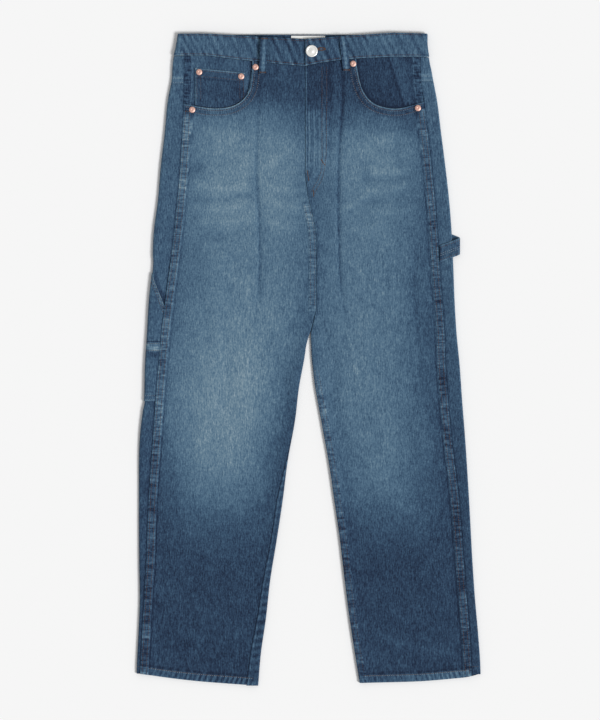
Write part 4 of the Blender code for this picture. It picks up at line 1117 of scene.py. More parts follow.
def facing_piece(side, level):
    """A facing: the blend of its seam, top, lower and mouth edges."""
    outs, drops = scoop_point(side, np.linspace(0, 1, 61))
    normal = np.stack([-np.gradient(drops), np.gradient(outs)])
    lower = np.stack([outs, drops]) + FACING_UNDERLAP * normal / np.linalg.norm(normal, axis=0)
    lower[1, 0] = band_edge("low", OUTWARD[side] * lower[0, 0]) + BAND_GAP
    seam_end = min(drops[-1] + FACING_UNDERLAP, lower[1, -1])
    seam_drop = np.linspace(band_edge("low", OUTWARD[side] * 186.0) + BAND_GAP, seam_end, 61)
    seam = np.stack([out_seam(side, seam_drop) - SEAM, seam_drop])
    lower[:, -1] = seam[:, -1]
    top_out = np.linspace(seam[0, 0], lower[0, 0], 61)
    top = np.stack([top_out, band_edge("low", OUTWARD[side] * top_out) + BAND_GAP])
    across = along_line(lower[:, FACING_CORNER:][:, ::-1], PATCH_STEPS)
    down = along_line(lower[:, :FACING_CORNER + 1], PATCH_STEPS)
    s = PATCH_STEPS[None, None, :]
    v = PATCH_STEPS[None, :, None]
    blend = (1 - v) * top[:, None, :] + v * across[:, None, :]
    blend = blend + (1 - s) * seam[:, :, None] + s * down[:, :, None]
    corners = (1 - s) * (1 - v) * top[:, 0, None, None] + s * (1 - v) * top[:, -1, None, None]
    corners = corners + (1 - s) * v * across[:, 0, None, None] + s * v * across[:, -1, None, None]
    out, drop = blend - corners
    height = facing_height(side, out, drop)
    shown = mouth_side(side, out, drop)
    inside = out_seam(side, drop) - out
    strip = ease((11.5 - inside) / 0.8)
    # Painted shadow: the facing is darker near the pocket mouth, where the front's edge shades it.
    wash_and_shade = level - 0.24 * bell(shown, 4) + 0.06 * np.sin(out / 9 + drop / 19) * (side == "right")
    wash_and_shade = wash_and_shade + facing_fold_shading(side, out, drop)
    wash_and_shade = wash_and_shade * (1 - strip) + strip * 0.16
    wash_and_shade = wash_and_shade + 0.18 * bell(inside - 11.2, 0.9) + 0.14 * bell(inside - 1.2, 0.9)
    grid = to_world(side, out, drop, height - 1.5 * facing_fold_shading(side, out, drop) + 0.35 * strip)
    return cloth_piece("facing_" + side, grid, OUTWARD[side], wash_and_shade, ribs=strip)


def facing_fold_shading(side, out, drop):
    """The slanting fold in the left facing: a dark line of painted shade with a paler face of painted light
    beside it. The same field also bends the facing's height.
    """
    if side == "right":
        return 0 * out
    beyond = out - 126.8 - 0.333 * (drop - 60)
    return 0.10 * ease((beyond - 1) / 3) * ease((30 - beyond) / 22) - 0.14 * bell(beyond, 1.4)


def coin_piece():
    """The coin pocket: its lower edge follows the pocket mouth, its top edge slopes."""
    side = "right"
    share = np.linspace(0, 1, 50)[None, :]
    outs, drops = scoop_point(side, np.linspace(0, 1, 121))
    out = COIN_OUT[0] + (COIN_OUT[1] - COIN_OUT[0]) * share
    low = np.interp(out, outs, drops) - 1.6 - 2.0 * (1 - share) ** 6
    top = COIN_DROP[0] + (COIN_DROP[1] - COIN_DROP[0]) * share
    drop = top + np.linspace(0, 1, 40)[:, None] * (low - top)
    out = np.broadcast_to(out, drop.shape)
    height = facing_height(side, out, drop) + 0.45 + CLOTH
    band = drop - top
    inward = out - COIN_OUT[0]
    wash_and_shade = 0.22 + 0.45 * bell(band, 1.3)
    # Painted shadow: darker towards the lower corner nearest the middle, where the mouth gapes.
    wash_and_shade = wash_and_shade - 0.16 * ease((30 - inward) / 30) * ease((band - 14) / 16)
    # Painted shade: a dark groove just below the pocket's doubled hem.
    wash_and_shade = wash_and_shade - 0.12 * bell(band - 14.5, 1.3)
    wash_and_shade = wash_and_shade + 0.16 * bell(inward, 1.5) + 0.30 * bell(COIN_OUT[1] - out, 1.3)
    return cloth_piece("coin_cloth", to_world(side, out, drop, height), -OUTWARD[side], wash_and_shade)


for leg, facing_level in (("right", 0.30), ("left", 0.13)):
    made = facing_piece(leg, facing_level)
    finish_cloth(made, "pocket_facing_" + leg, SHADED_DENIM)
made = coin_piece()
finish_cloth(made, "coin_pocket", SHADED_DENIM)

# %% Back pockets, ruler pocket and hammer loop
# %% [markdown]
# The ruler pocket wraps the right leg's outer fold, so it uses the same fold as the back and lies a
# layer outside it. The hammer loop is a strap that leaves the outseam, bows clear of the side and is
# sewn down again under the leg.


def back_pocket_piece(side):
    """A patch pocket on the underside: straight sides and a pointed lower edge, from its corners."""
    corners = np.array(BACK_POCKET_TABLE, dtype=float)
    share = np.linspace(0, 1, 21)[None, :]
    step = np.linspace(0, 1, 25)[:, None]
    top = corners[0][:, None] * (1 - share) + corners[1][:, None] * share
    point = np.array([corners[4], corners[3], corners[2]])
    low = np.stack([np.interp(share[0], (0, 0.49, 1), point[:, k]) for k in range(2)])
    out = top[0] + step * (low[0] - top[0])
    drop = top[1] + step * (low[1] - top[1])
    wash_and_shade = 0.30 + 0.14 * bell(step - 0.0, 0.03) + 0 * out
    return cloth_piece("back_pocket_cloth_" + side, to_world(side, out, drop, 0 * out), OUTWARD[side], wash_and_shade)


def tool_mouth(walk):
    """Drop of the slanted mouth at a walk from the outer edge, negative on the front."""
    return np.interp(walk, TOOL_MOUTH_WALKS, TOOL_MOUTH_DROPS)


def tool_piece(name, first, last):
    """A piece of the ruler pocket between two edges: outseam, outer fold, then the underside."""
    side = "right"
    steps = np.linspace(0, 1, 60)[:, None]
    places = [("top", s) for s in np.linspace(0, 0.92, 10)]
    places += [("fold", s) for s in np.linspace(0, 1, 15)]
    places += [("under", s) for s in (0.35, 0.5, 0.7, 0.85, 1.0)]
    walks = {"top": (-24, 20), "fold": (-3, 6), "under": (0, TOOL_REACH)}
    columns = []
    for kind, share in places:
        walk = walks[kind][0] + walks[kind][1] * share
        drop = first(walk) + steps * (last(walk) - first(walk))
        edge = outer_edge(side, drop)
        radius = edge_height("right_outer", drop) / 2
        wave = uneven_wave(drop, 9.0, 6.0)
        if kind == "top":
            seam = out_seam(side, drop) + SEAM
            out = seam + share * (edge - radius - seam)
            height = top_height(side, out, drop) + TOOL_PROUD + 0.10 * wave
        elif kind == "fold":
            out = edge - radius + radius * math.sin(math.pi * share)
            height = radius + radius * math.cos(math.pi * share)
            height = height + TOOL_PROUD * (1 + math.cos(math.pi * share)) / 2
        else:
            out = edge - radius - share * (TOOL_REACH - radius)
            height = np.zeros(drop.shape)
        from_top = drop - first(walk)
        from_low = last(walk) - drop
        wash_and_shade = 0.36 + 0.03 * wave + tool_wear_and_shade(name, from_top, from_low)
        # Painted shade: a dark line beside the outseam, where the front's felled edge stands over the pocket.
        wash_and_shade = wash_and_shade - 0.20 * bell(out - out_seam(side, drop), 1.4) * (kind == "top")
        columns.append((out, height, drop, wash_and_shade, tool_ribs(name, from_top, from_low)))
    out, height, drop, wash_and_shade, ribs = (np.concatenate(group, axis=1) for group in zip(*columns))
    grid = to_world(side, out, drop, height)
    return cloth_piece(name + "_cloth", grid, -OUTWARD[side], wash_and_shade, ribs=ribs)


def tool_wear_and_shade(name, from_top, from_low):
    """The slanted mouth is pale, the lower mouth has a pale hem with painted shade in a dark line at its edge
    and a dark band below it, and the closed end is rubbed.
    """
    if name == "tool_pocket_upper":
        return 0.34 * bell(from_top, 1.3) + 0.08 * patch(from_top, 3, 9, 1.5)
    # Painted shade: the dark line at the lower mouth's edge and the dark band below its hem.
    mouth = 0.20 * patch(from_top, 3.0, 14.0, 1.5) - 0.30 * bell(from_top, 1.3)
    mouth = mouth - 0.12 * patch(from_top, 17, 24, 3)
    return mouth + 0.14 * bell(from_low, 1.5) + 0.08 * bell(from_low - 10, 2)


def tool_ribs(name, from_top, from_low):
    """The doubled hems of the two mouths and the closed end are drawn into ribs."""
    if name == "tool_pocket_upper":
        return patch(from_top, 1, 10, 1.5) + 0 * from_low
    return patch(from_top, 2, 15, 1.5) + 0.6 * patch(from_low, 0, 10, 1.5)


def hammer_path():
    """Points of the strap's section: seam, bow round the side and tail under the leg."""
    edge = float(outer_edge("left", 322.0))
    seam = float(out_seam("left", 331.0)) + 1.5
    height = float(top_height("left", np.array(edge - 8), np.array(331.0))) + 0.5 + CLOTH
    middle = height / 2 + 0.2
    angles = np.linspace(0, math.pi, 9)
    bow_out = edge + HAMMER_BOW_START + HAMMER_BOW * np.sin(angles)
    bow = np.stack([bow_out, middle + middle * np.cos(angles)], 1)
    start = [(seam, height - 0.1), (seam + 8, height + 0.1), (edge - 3, 2 * middle - 0.1)]
    path = np.concatenate([start, bow, [(edge - 6, 0.0), (edge - HAMMER_TAIL, 0.0)]])
    return path, np.concatenate([[0], np.cumsum(np.hypot(*np.diff(path, axis=0).T))])


def hammer_point(place, width):
    """Out, drop and height of the strap at a length along it and a share of its width."""
    path, length = hammer_path()
    top = HAMMER_SEAM_DROP + (HAMMER_BACK_DROP - HAMMER_SEAM_DROP) * place / length[-1]
    out, height = (np.interp(place, length, path[:, k]) for k in range(2))
    return out, top + HAMMER_WIDTH * width, height


def hammer_piece():
    """The strap: its section is carried along a slope, and its two long edges are worn."""
    length = hammer_path()[1]
    place = np.unique(np.concatenate([length, np.linspace(0, length[-1], 60)]))[None, :]
    width = np.linspace(0, 1, 20)[:, None]
    out, drop, height = np.broadcast_arrays(*hammer_point(place, width))
    edge = HAMMER_WIDTH * np.minimum(width, 1 - width)
    blotch = uneven_wave(out + 0.3 * drop, 9.0, 7.0)
    wash_and_shade = 0.30 + (0.20 + 0.08 * blotch) * bell(edge, 2.0) + 0.04 * blotch
    wash_and_shade = wash_and_shade - 0.22 * bell(place - 0.6, 1.6)
    lift = -0.35 * bell(edge, 0.7) + 0 * drop
    grid = to_world("left", out, drop, height)
    return cloth_piece("hammer_loop_cloth", grid, -1.0, wash_and_shade, lift, closed=True)


for leg in ("right", "left"):
    made = back_pocket_piece(leg)
    finish_cloth(made, "back_pocket_" + leg, DENIM)
made = tool_piece("tool_pocket_upper", tool_mouth, lambda walk: TOOL_SPLIT_DROP - SEAM)
finish_cloth(made, "tool_pocket_upper", DENIM)
made = tool_piece("tool_pocket_lower", lambda walk: TOOL_SPLIT_DROP + SEAM, lambda walk: TOOL_END_DROP)
finish_cloth(made, "tool_pocket_lower", DENIM)
made = hammer_piece()
finish_cloth(made, "hammer_loop", DENIM)

# %% Waistband, belt loops and label
# %% [markdown]
# The waistband is one strip that goes all round, and its left end laps over its right end. Its
# inner face shows above the front's dipped edge, so it is closed. The belt loops stand off the band
# by the room that a belt's edge needs.
BAND_STEPS = np.concatenate([[0.0, 0.012, 0.03], np.linspace(0.06, 0.94, 23), [0.97, 0.988, 1.0]])[:, None]


def lap_lift(across):
    """Lift of the band's left end where it laps over the right end."""
    return LAP_LIFT * (1 - ease((across - 31) / 32))


def band_relief(across, step):
    """Rope puckers that lean over between the band's two rows of stitches, strongest at its edges."""
    edge = 0.45 + 0.55 * (bell(step, 0.25) + bell(1 - step, 0.25))
    rope = 0.7 * uneven_wave(across - 17 * step, 10.5, 8.0) + 0.5 * uneven_wave(across - 24 * step, 17.0, 9.0)
    return edge * rope


def waistband_piece():
    """The band: columns across the right front, round both sides and the back, to the left end."""
    columns = []
    radius = (BAND_TOP_HEIGHT - BAND_UNDER) / 2

    def add(top, low, across_at, height, wash_and_shade):
        """Keep one more column of points, from the band's top edge to its lower edge."""
        drop = top + BAND_STEPS * (low - top)
        columns.append((across_at(drop), drop, np.broadcast_to(height, drop.shape), wash_and_shade + 0 * drop))

    def add_front(across, lift):
        """One column of the front half, with its puckers."""
        relief = band_relief(across, BAND_STEPS)
        wash_and_shade = 0.28 + 0.27 * relief + 0.10 * ease((abs(across) - 40) / 60)
        wash_and_shade = wash_and_shade + (0.30 * bell(across + 3.6, 1.3) if lift else 0.0)
        add(band_edge("top", across), band_edge("low", across), lambda drop: np.full(drop.shape, across),
            BAND_TOP_HEIGHT + lift + 0.12 * relief, wash_and_shade)

    def add_side(side, angle):
        """One column of the fold at a side."""
        across = OUTWARD[side] * SIDE_ACROSS
        add(band_edge("top", across), band_edge("low", across),
            lambda drop: OUTWARD[side] * (outer_edge(side, drop) - radius * (1 - math.sin(angle))),
            BAND_UNDER + radius * (1 + math.cos(angle)), 0.42)

    def add_back(side, share):
        """One column of the back half."""
        add(back_band_edge(side, "top", share), back_band_edge(side, "low", share),
            lambda drop: OUTWARD[side] * share * outer_edge(side, drop), BAND_UNDER, 0.26)

    for across in np.arange(28, -192, -2.0):
        add_front(float(across), 0.0)
    for angle in np.linspace(0, math.pi, 13):
        add_side("right", angle)
    for share in UNDER_PLACES:
        add_back("right", share)
    for share in (0.0, *UNDER_PLACES[::-1]):
        add_back("left", share)
    for angle in np.linspace(math.pi, 0, 13):
        add_side("left", angle)
    for across in np.append(np.arange(170, -4, -2.0), -4.4):
        add_front(float(across), float(lap_lift(across)))
    across, drop, height, wash_and_shade = (np.concatenate(group, axis=1) for group in zip(*columns))
    edge = np.minimum(BAND_STEPS, 1 - BAND_STEPS) * BAND_WIDTH
    lift = -0.5 * bell(edge, 0.6) + 0 * drop
    low_edge = (1 - BAND_STEPS) * BAND_WIDTH
    wash_and_shade = wash_and_shade - 0.14 * bell(edge - 2.6, 1.2) + 0.16 * bell(low_edge, 1.3)
    grid = to_world("left", across, drop, height)
    return cloth_piece("band_cloth", grid, 1.0, wash_and_shade, lift, BAND_CLOTH, closed=True)


def front_loop_piece(side, top_across, low_across):
    """A belt loop: an arch over the band that comes down on the front below it."""
    top = float(band_edge("top", top_across)) + 0.8
    low = float(band_edge("low", low_across))
    drops = np.linspace(top, low + LOOP_TAIL, 50)
    middle = top_across + (low_across - top_across) * (drops - top) / (drops[-1] - top)
    place = np.linspace(-0.5, 0.5, 13)[None, :]
    across = middle[:, None] + LOOP_WIDTH * place
    drop = np.broadcast_to(drops[:, None], across.shape)
    on_band = BAND_TOP_HEIGHT + lap_lift(across)
    arch = 1.4 * np.sin(math.pi * np.clip((drops - top) / (low + 2.5 - top), 0, 1))[:, None]
    on_panel = np.max(top_height(side, OUTWARD[side] * across, drop), axis=1, keepdims=True) + 0.6
    down = ease((drops - low - 2.5) / 6.5)[:, None]
    height = (np.max(on_band, axis=1, keepdims=True) + arch) * (1 - down) + on_panel * down
    height = height + 0.4 + LOOP_CLOTH + 0.25 * np.cos(2 * math.pi * place) * (1 - 0.5 * down)
    wash_and_shade = 0.12 + 0.44 * bell(np.abs(place), 0.28)
    wash_and_shade = wash_and_shade + 0.10 * uneven_wave(drop, 7.0, 3.0) + 0.12 * bell(0.5 - np.abs(place), 0.05)
    ends = np.minimum(drops - drops[0], drops[-1] - drops)[:, None]
    wash_and_shade = wash_and_shade - 0.16 * bell(ends, 3.5)
    grid = to_world("left", across, drop, height)
    return cloth_piece("front_loop_" + side, grid, -1.0, wash_and_shade, 0.0, LOOP_CLOTH, closed=True)


def flat_piece(name, across, drop, height, thickness, wash_and_shade):
    """A flat strip between two across values and two drops, with its face at a height."""
    places = np.linspace(*across, 9)[None, :] + np.zeros((15, 1))
    drops = np.linspace(*drop, 15)[:, None] + np.zeros((1, 9))
    grid = to_world("left", places, drops, height)
    return cloth_piece(name, grid, -1.0, wash_and_shade, 0.0, thickness, closed=True)


made = waistband_piece()
finish_cloth(made, "waistband", DENIM)
for side_name, top_place, low_place in FRONT_LOOP_TABLE:
    made = front_loop_piece(side_name, top_place, low_place)
    finish_cloth(made, "belt_loop_front_" + side_name, DENIM)
for loop_name, loop_across in BACK_LOOP_ACROSS.items():
    reach = (loop_across - LOOP_WIDTH / 2, loop_across + LOOP_WIDTH / 2)
    drops_of = (BACK_BAND_TOP + 1.5, BACK_BAND_LOW + 9.0)
    made = flat_piece("back_loop_" + loop_name, reach, drops_of, BAND_UNDER - GAP, BAND_UNDER - GAP, 0.3)
    finish_cloth(made, "belt_loop_" + loop_name, DENIM)
tape = flat_piece("label_tape", LABEL_ACROSS, LABEL_DROP, BAND_UNDER + BAND_CLOTH + GAP + 1.0, 0.7, 0.0)
finish_cloth(tape, "label", TAPE)

# %% Stitches
# %% [markdown]
# A stitch is a grain of thread that is thickest in its middle and dives into the cloth at both ends.
# Rows of them are laid along lines on the finished surface, all at once: the line is measured, cut
# into equal pitches, and one small diamond-shaped grain is placed on each. Drawing the rows as
# colour would be lighter, but raised thread catches the light from the side.
STITCH_PITCH = 3.3
STITCH_LENGTH = 2.7
STITCH_WIDTH = 0.75
THREAD_LINES = {"tobacco": [], "grey": []}


def grains(centres, directions, ups, length, width):
    """Points and faces of stitch grains: two ends and a ring of four at the middle of each."""
    directions = directions / np.linalg.norm(directions, axis=1, keepdims=True)
    sides = np.cross(directions, ups)
    sides = sides / np.linalg.norm(sides, axis=1, keepdims=True)
    half = directions * length / 2
    ring = [sides * width / 2, ups * width * 0.45, -sides * width / 2, -ups * width * 0.45]
    points = np.stack([centres - half, centres + half] + [centres + r for r in ring], axis=1)
    pattern = [(0, 2 + (k + 1) % 4, 2 + k) for k in range(4)]
    pattern += [(1, 2 + k, 2 + (k + 1) % 4) for k in range(4)]
    faces = np.array(pattern)[None] + 6 * np.arange(len(centres))[:, None, None]
    return points.reshape(-1, 3), faces.reshape(-1, 3)


def sew(thread, line, pitch=STITCH_PITCH, length=STITCH_LENGTH, width=STITCH_WIDTH):
    """Lay stitches along a line of points at equal steps of its measured length."""
    run = np.concatenate([[0], np.cumsum(np.linalg.norm(np.diff(line, axis=0), axis=1))])
    places = np.arange(pitch / 2, run[-1], pitch)
    ahead = [np.interp(places + 0.4 * length, run, line[:, k]) for k in range(3)]
    behind = [np.interp(places - 0.4 * length, run, line[:, k]) for k in range(3)]
    ahead, behind = np.stack(ahead, 1), np.stack(behind, 1)
    THREAD_LINES[thread].append(((ahead + behind) / 2, ahead - behind, length, width))


def on_front(side, out, drop, rise=0.12):
    """A line on a front's finished surface."""
    out, drop = np.broadcast_arrays(np.asarray(out, float), np.asarray(drop, float))
    return to_world(side, out, drop, front_surface(side, out, drop) + rise)


def side_surface(side, out, drop):
    """Height of the strip beside the outseam, with its share of the outer fold."""
    edge = outer_edge(side, drop)
    radius = edge_height(side + "_outer", drop) / 2
    into = np.clip(out - edge + radius, 0, radius * 0.98)
    return np.where(into > 0, radius + np.sqrt(radius**2 - into**2), top_height(side, out, drop))


def on_side(side, share, drop, rise):
    """A line on the side strip, at a share of the way from the outseam to the outer edge."""
    share, drop = np.broadcast_arrays(np.asarray(share, float), np.asarray(drop, float))
    seam = out_seam(side, drop) + 0.8
    out = seam + share * (outer_edge(side, drop) - 1.2 - seam)
    return to_world(side, out, drop, side_surface(side, out, drop) + rise)


def beside_mouth(side, distance):
    """A line that keeps its distance outside the pocket mouth."""
    outs, drops = scoop_point(side, np.linspace(0.02, 0.99, 160))
    normal = np.stack([-np.gradient(drops), np.gradient(outs)])
    out, drop = np.stack([outs, drops]) + distance * normal / np.linalg.norm(normal, axis=0)
    inside = out < out_seam(side, drop) - 1.5
    return on_front(side, out[inside], drop[inside])


for leg in ("right", "left"):
    down = np.linspace(117, 962, 420)
    for inset in (3.2, 9.4):
        sew("tobacco", on_front(leg, out_seam(leg, down) - inset, down), width=0.85)
    for offset in (2.8, 9.6):
        sew("tobacco", beside_mouth(leg, offset))
        # Short grey grains just beside each tobacco row: painted highlights between the stitches.
        sew("grey", beside_mouth(leg, offset + 1.1), length=1.4, width=0.6)
    hem_out = np.linspace(82, 240, 90)
    hem_out = hem_out[hem_out < out_seam(leg, np.array(960.0)) - 1]
    sew("tobacco", on_front(leg, hem_out, hem_drop(leg, hem_out) - 10.8), width=0.85)
    # Grey grains beside the tobacco hem row: painted highlights between the stitches.
    sew("grey", on_front(leg, hem_out + 1.6, hem_drop(leg, hem_out) - 10.2), length=1.6, width=0.8)
    share = np.linspace(0, 1, 20)
    for offset in (2.2, 8.4):
        sew("grey", on_side(leg, share, YOKE_SIDE_DROP[leg] - offset, 0.3), length=1.6, width=0.9)
    sew("tobacco", on_side(leg, share, 950.0, 0.2))

left_inner = np.linspace(505, 958, 240)
for inset in (3.0, 8.6):
    sew("tobacco", on_front("left", inner_edge("left", left_inner, "front") + inset, left_inner), width=0.55)
centre = np.linspace(258, 408, 80)
for inset in (2.6, 8.8):
    sew("tobacco", on_front("right", inner_edge("right", centre, "front") + inset, centre), width=0.55)

J_ROWS = ((51, 20.2), (170, 20.2), (188, 20.6), (197, 20.4), (210, 18.4), (220, 14.6), (228, 9.5), (238, 4.5))
j_out = np.array([row[1] for row in J_ROWS])
j_drop = np.array([row[0] for row in J_ROWS], dtype=float)
for offset in (0.0, 7.2):
    turned_in = ease((j_drop - 160) / 60)
    line_drop = np.interp(np.linspace(0, 7, 90), np.arange(8), j_drop + 0.8 * offset * turned_in)
    line_out = np.interp(np.linspace(0, 7, 90), np.arange(8), j_out + offset * (1 - 0.6 * turned_in))
    sew("tobacco", on_front("left", line_out, line_drop, 0.2), pitch=2.9, length=2.4)
BARTACKS = (("left", -2.2, 206, 0.4, 222), ("left", 18.6, 190, 25.0, 199), ("left", 7.5, 236, 7.8, 246))
for leg, out_from, drop_from, out_to, drop_to in BARTACKS:
    tack = on_front(leg, np.linspace(out_from, out_to, 12), np.linspace(drop_from, drop_to, 12), 0.25)
    sew("tobacco", tack, pitch=0.9, length=1.6, width=1.3)

# %% [markdown]
# The band, the small pockets and the loops have their own surfaces, so their rows of stitches are
# laid on those.


def on_band(across, step, rise=0.15):
    """A line on the band at a share of its width."""
    across = np.asarray(across, float)
    drop = band_edge("top", across) + step * (band_edge("low", across) - band_edge("top", across))
    height = BAND_TOP_HEIGHT + lap_lift(across) * (across > -4.4) * (across < 170)
    height = height + 0.12 * band_relief(across, step)
    return to_world("left", across, drop, height + rise)


for step in (0.07, 0.93):
    sew("tobacco", on_band(np.linspace(-4.0, -190, 200) - 0.6, step))
    sew("tobacco", on_band(np.linspace(-2.0, 170, 200), step))
end_drop = np.linspace(band_edge("top", -4.4) + 3, band_edge("low", -4.4) - 3, 20)
end_height = np.full(20, BAND_TOP_HEIGHT + LAP_LIFT + 0.2)
sew("tobacco", to_world("left", np.full(20, -2.2), end_drop, end_height))

coin_share = np.linspace(0.03, 0.97, 40)
coin_out = COIN_OUT[0] + (COIN_OUT[1] - COIN_OUT[0]) * coin_share
coin_top = COIN_DROP[0] + (COIN_DROP[1] - COIN_DROP[0]) * coin_share
for offset in (2.6, 11.5):
    drop = coin_top + offset
    coin_height = facing_height("right", coin_out, drop) + 0.45 + CLOTH + 0.12
    sew("tobacco", to_world("right", coin_out, drop, coin_height), width=0.62)
for out_at in (COIN_OUT[0] + 2.2, COIN_OUT[0] + 8.0, COIN_OUT[1] - 2.2, COIN_OUT[1] - 8.0):
    drop = np.linspace(np.interp(out_at, coin_out, coin_top) + 3, 100, 30)
    out = np.full(30, out_at)
    coin_height = facing_height("right", out, drop) + 0.45 + CLOTH + 0.12
    sew("tobacco", to_world("right", out, drop, coin_height), width=0.62)

share = np.linspace(0, 1, 24)
mouth_drop = np.interp(share, (0, 1), (TOOL_MOUTH_DROPS[0], TOOL_MOUTH_DROPS[1] + 3))
for offset in (3.0, 10.0):
    sew("tobacco", on_side("right", share, mouth_drop + offset, TOOL_PROUD + 0.3))
for drop_at in (TOOL_SPLIT_DROP + 4.0, TOOL_SPLIT_DROP + 14.0):
    sew("tobacco", on_side("right", share, drop_at, TOOL_PROUD + 0.3))
for drop_at in (TOOL_END_DROP - 2.0, TOOL_END_DROP - 8.2):
    sew("grey", on_side("right", share, drop_at, TOOL_PROUD + 0.3), length=1.6, width=0.9)

strap_place = np.linspace(0.5, hammer_path()[1][6], 40)
for thread, strap_share in (("tobacco", 0.13), ("grey", 0.50), ("grey", 0.62), ("tobacco", 0.88)):
    strap_out, strap_drop, strap_height = hammer_point(strap_place, strap_share)
    sew(thread, to_world("left", strap_out, strap_drop, strap_height + 0.15), width=0.7)

for side_name, top_place, low_place in FRONT_LOOP_TABLE:
    loop_top = float(band_edge("top", top_place)) + 2.2
    loop_low = float(band_edge("low", low_place)) + LOOP_TAIL - 2.6
    panel = float(np.max(top_height(side_name, np.array(abs(low_place)), np.array(loop_low)))) + 2.9
    level = BAND_TOP_HEIGHT + float(lap_lift(np.array(top_place))) + 2.4
    for middle, drop_at, height in ((top_place, loop_top, level), (low_place, loop_low, panel)):
        for shift in (0.0, 1.2):
            tack = to_world("left", middle + np.linspace(-4.6, 4.6, 10), drop_at + shift, height + 0.1)
            sew("tobacco", tack, pitch=0.95, length=1.7, width=0.9)

hole_angle = np.linspace(0, 2 * math.pi, 46, endpoint=False)
hole_across = 19.5 + 5.4 * np.cos(hole_angle)
hole_drop = 24.8 + 1.9 * np.sin(hole_angle)
hole_height = BAND_TOP_HEIGHT + LAP_LIFT + 0.35
hole_way = np.stack([0.45 * np.cos(hole_angle), -np.sin(hole_angle), 0 * hole_angle], 1)
hole = to_world("left", hole_across, hole_drop, hole_height)
THREAD_LINES["tobacco"].append((hole, hole_way, 2.4, 0.7))


def thread_piece(name, groups, material):
    """Join all the rows of one thread into a single mesh."""
    points, faces, start = [], [], 0
    for centres, directions, length, width in groups:
        ups = np.tile((0.0, 0.0, 1.0), (len(centres), 1))
        ups = ups - directions * (directions[:, 2] / np.sum(directions**2, axis=1))[:, None]
        ups = ups / np.linalg.norm(ups, axis=1, keepdims=True)
        group_points, group_faces = grains(centres, directions, ups, length, width)
        points.append(group_points)
        faces.append(group_faces + start)
        start += len(group_points)
    piece = mesh_piece(name, np.concatenate(points), np.concatenate(faces))
    piece.data.materials.append(material)
    print(name, start // 6, "stitches")
    return piece


thread_piece("stitches_tobacco", THREAD_LINES["tobacco"], TOBACCO)
thread_piece("stitches_grey", THREAD_LINES["grey"], GREY_THREAD_AND_HIGHLIGHT)

# %% Button and rivets
# %% [markdown]
# Both are turned: a profile of radius and rise is swept round an upright axis. The button keeps a
# plain rim and dish with no lettering, and the rivets are low copper domes with a centre dimple.
BUTTON_PROFILE = (
    (5.6, 0.0), (8.2, 0.1), (8.8, 0.5), (9.0, 1.0), (8.9, 1.5), (8.5, 1.95), (7.9, 2.2), (7.3, 2.25),
    (6.8, 2.1), (6.5, 1.75), (6.2, 1.65), (5.0, 1.75), (3.4, 1.95), (2.2, 2.1), (1.8, 2.3),
    (0.9, 2.35), (0.02, 2.35),
)
RIVET_PROFILE = (
    (4.6, 0.0), (4.6, 0.25), (4.4, 0.5), (3.9, 0.75), (3.2, 0.95), (2.5, 1.15), (1.9, 1.2),
    (1.4, 1.1), (0.9, 0.9), (0.02, 0.85),
)


def turned_piece(name, profile, across, drop, height, sides, material):
    """Sweep a profile round an upright axis: rings of points, one for each row of the profile."""
    angle = np.linspace(0, 2 * math.pi, sides, endpoint=False)
    profile = np.array(profile)
    rings = np.stack([
        profile[:, :1] * np.cos(angle) + across,
        profile[:, :1] * np.sin(angle) + LENGTH / 2 - drop,
        profile[:, 1:] + height + 0 * angle[None, :],
    ], axis=-1)
    index = np.arange(len(profile) * sides).reshape(len(profile), sides)
    index = np.concatenate([index, index[:, :1]], axis=1)
    piece = mesh_piece(name, rings, rows_of_quads(index))
    piece.data.materials.append(material)
    return piece


button_height = BAND_TOP_HEIGHT + LAP_LIFT + GAP
made = turned_piece("shank_button", BUTTON_PROFILE, *BUTTON_PLACE, button_height, 64, NICKEL)
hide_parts("button")
for number, rivet_place in enumerate(RIVET_TABLE, start=1):
    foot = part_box("rivet_%d" % number)[0].z / MM
    made = turned_piece("copper_rivet_%d" % number, RIVET_PROFILE, *rivet_place, foot, 28, COPPER)
    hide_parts("rivet_%d" % number)

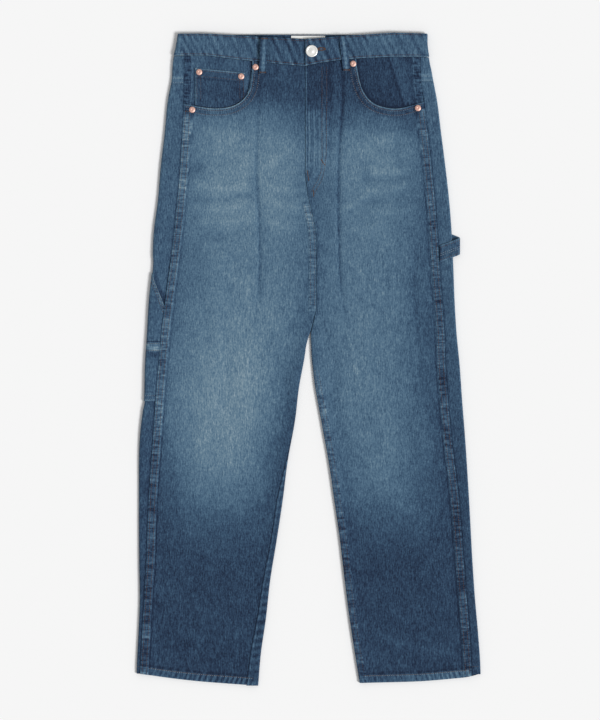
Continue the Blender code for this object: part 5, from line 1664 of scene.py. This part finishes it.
# %% Floor, light and camera
# %% [markdown]
# The photo is lit almost evenly, with one soft key from the right and the top that draws a narrow
# grey line along the left edges. A sun with a wide disc gives that line the same width everywhere,
# and a bright even world fills the rest. The camera is far away and looks straight down.
KEY_ELEVATION = 47
KEY_AZIMUTH = 62
KEY_STRENGTH = 2.4
KEY_DISC = 20
FILL_STRENGTH = 0.46
FLOOR_COLOUR = "f4f4f4"
CAMERA_DISTANCE = 6.0
PICTURE_CENTRE = (-12.75, -1.1)
VIEW_LONG_SIDE = 1.08

floor_half = 3000.0
corners = [(-floor_half, -floor_half, -0.3), (floor_half, -floor_half, -0.3)]
corners += [(floor_half, floor_half, -0.3), (-floor_half, floor_half, -0.3)]
floor_mesh = bpy.data.meshes.new("floor")
floor_mesh.from_pydata([[value * MM for value in corner] for corner in corners], [], [(0, 1, 2, 3)])
floor = bpy.data.objects.new("floor", floor_mesh)
bpy.context.scene.collection.objects.link(floor)
floor.data.materials.append(new_material("matt pale ground", FLOOR_COLOUR, 1.0)[0])
floor.data.materials[0].node_tree.nodes["Principled BSDF"].inputs["Specular IOR Level"].default_value = 0.0

key_data = bpy.data.lights.new("key", "SUN")
key_data.energy = KEY_STRENGTH
key_data.angle = math.radians(KEY_DISC)
key = bpy.data.objects.new("key", key_data)
key.rotation_euler = (math.radians(90 - KEY_ELEVATION), 0.0, math.radians(KEY_AZIMUTH))
bpy.context.scene.collection.objects.link(key)

world = bpy.data.worlds.new("even fill")
world.use_nodes = True
world.node_tree.nodes["Background"].inputs["Color"].default_value = (1.0, 1.0, 1.0, 1.0)
world.node_tree.nodes["Background"].inputs["Strength"].default_value = FILL_STRENGTH
bpy.context.scene.world = world

bpy.context.scene.view_settings.view_transform = "Standard"

camera_data = bpy.data.cameras.new("camera")
camera_data.sensor_width = 36.0
camera_data.lens = camera_data.sensor_width * CAMERA_DISTANCE / VIEW_LONG_SIDE
camera = bpy.data.objects.new("camera", camera_data)
camera.location = (PICTURE_CENTRE[0] * MM, PICTURE_CENTRE[1] * MM, CAMERA_DISTANCE)
bpy.context.scene.collection.objects.link(camera)
bpy.context.scene.camera = camera

# %% Finish
# %% [markdown]
# The view layer is updated once more.
note_size()
print("lights:", key.name, "and world:", world.name)
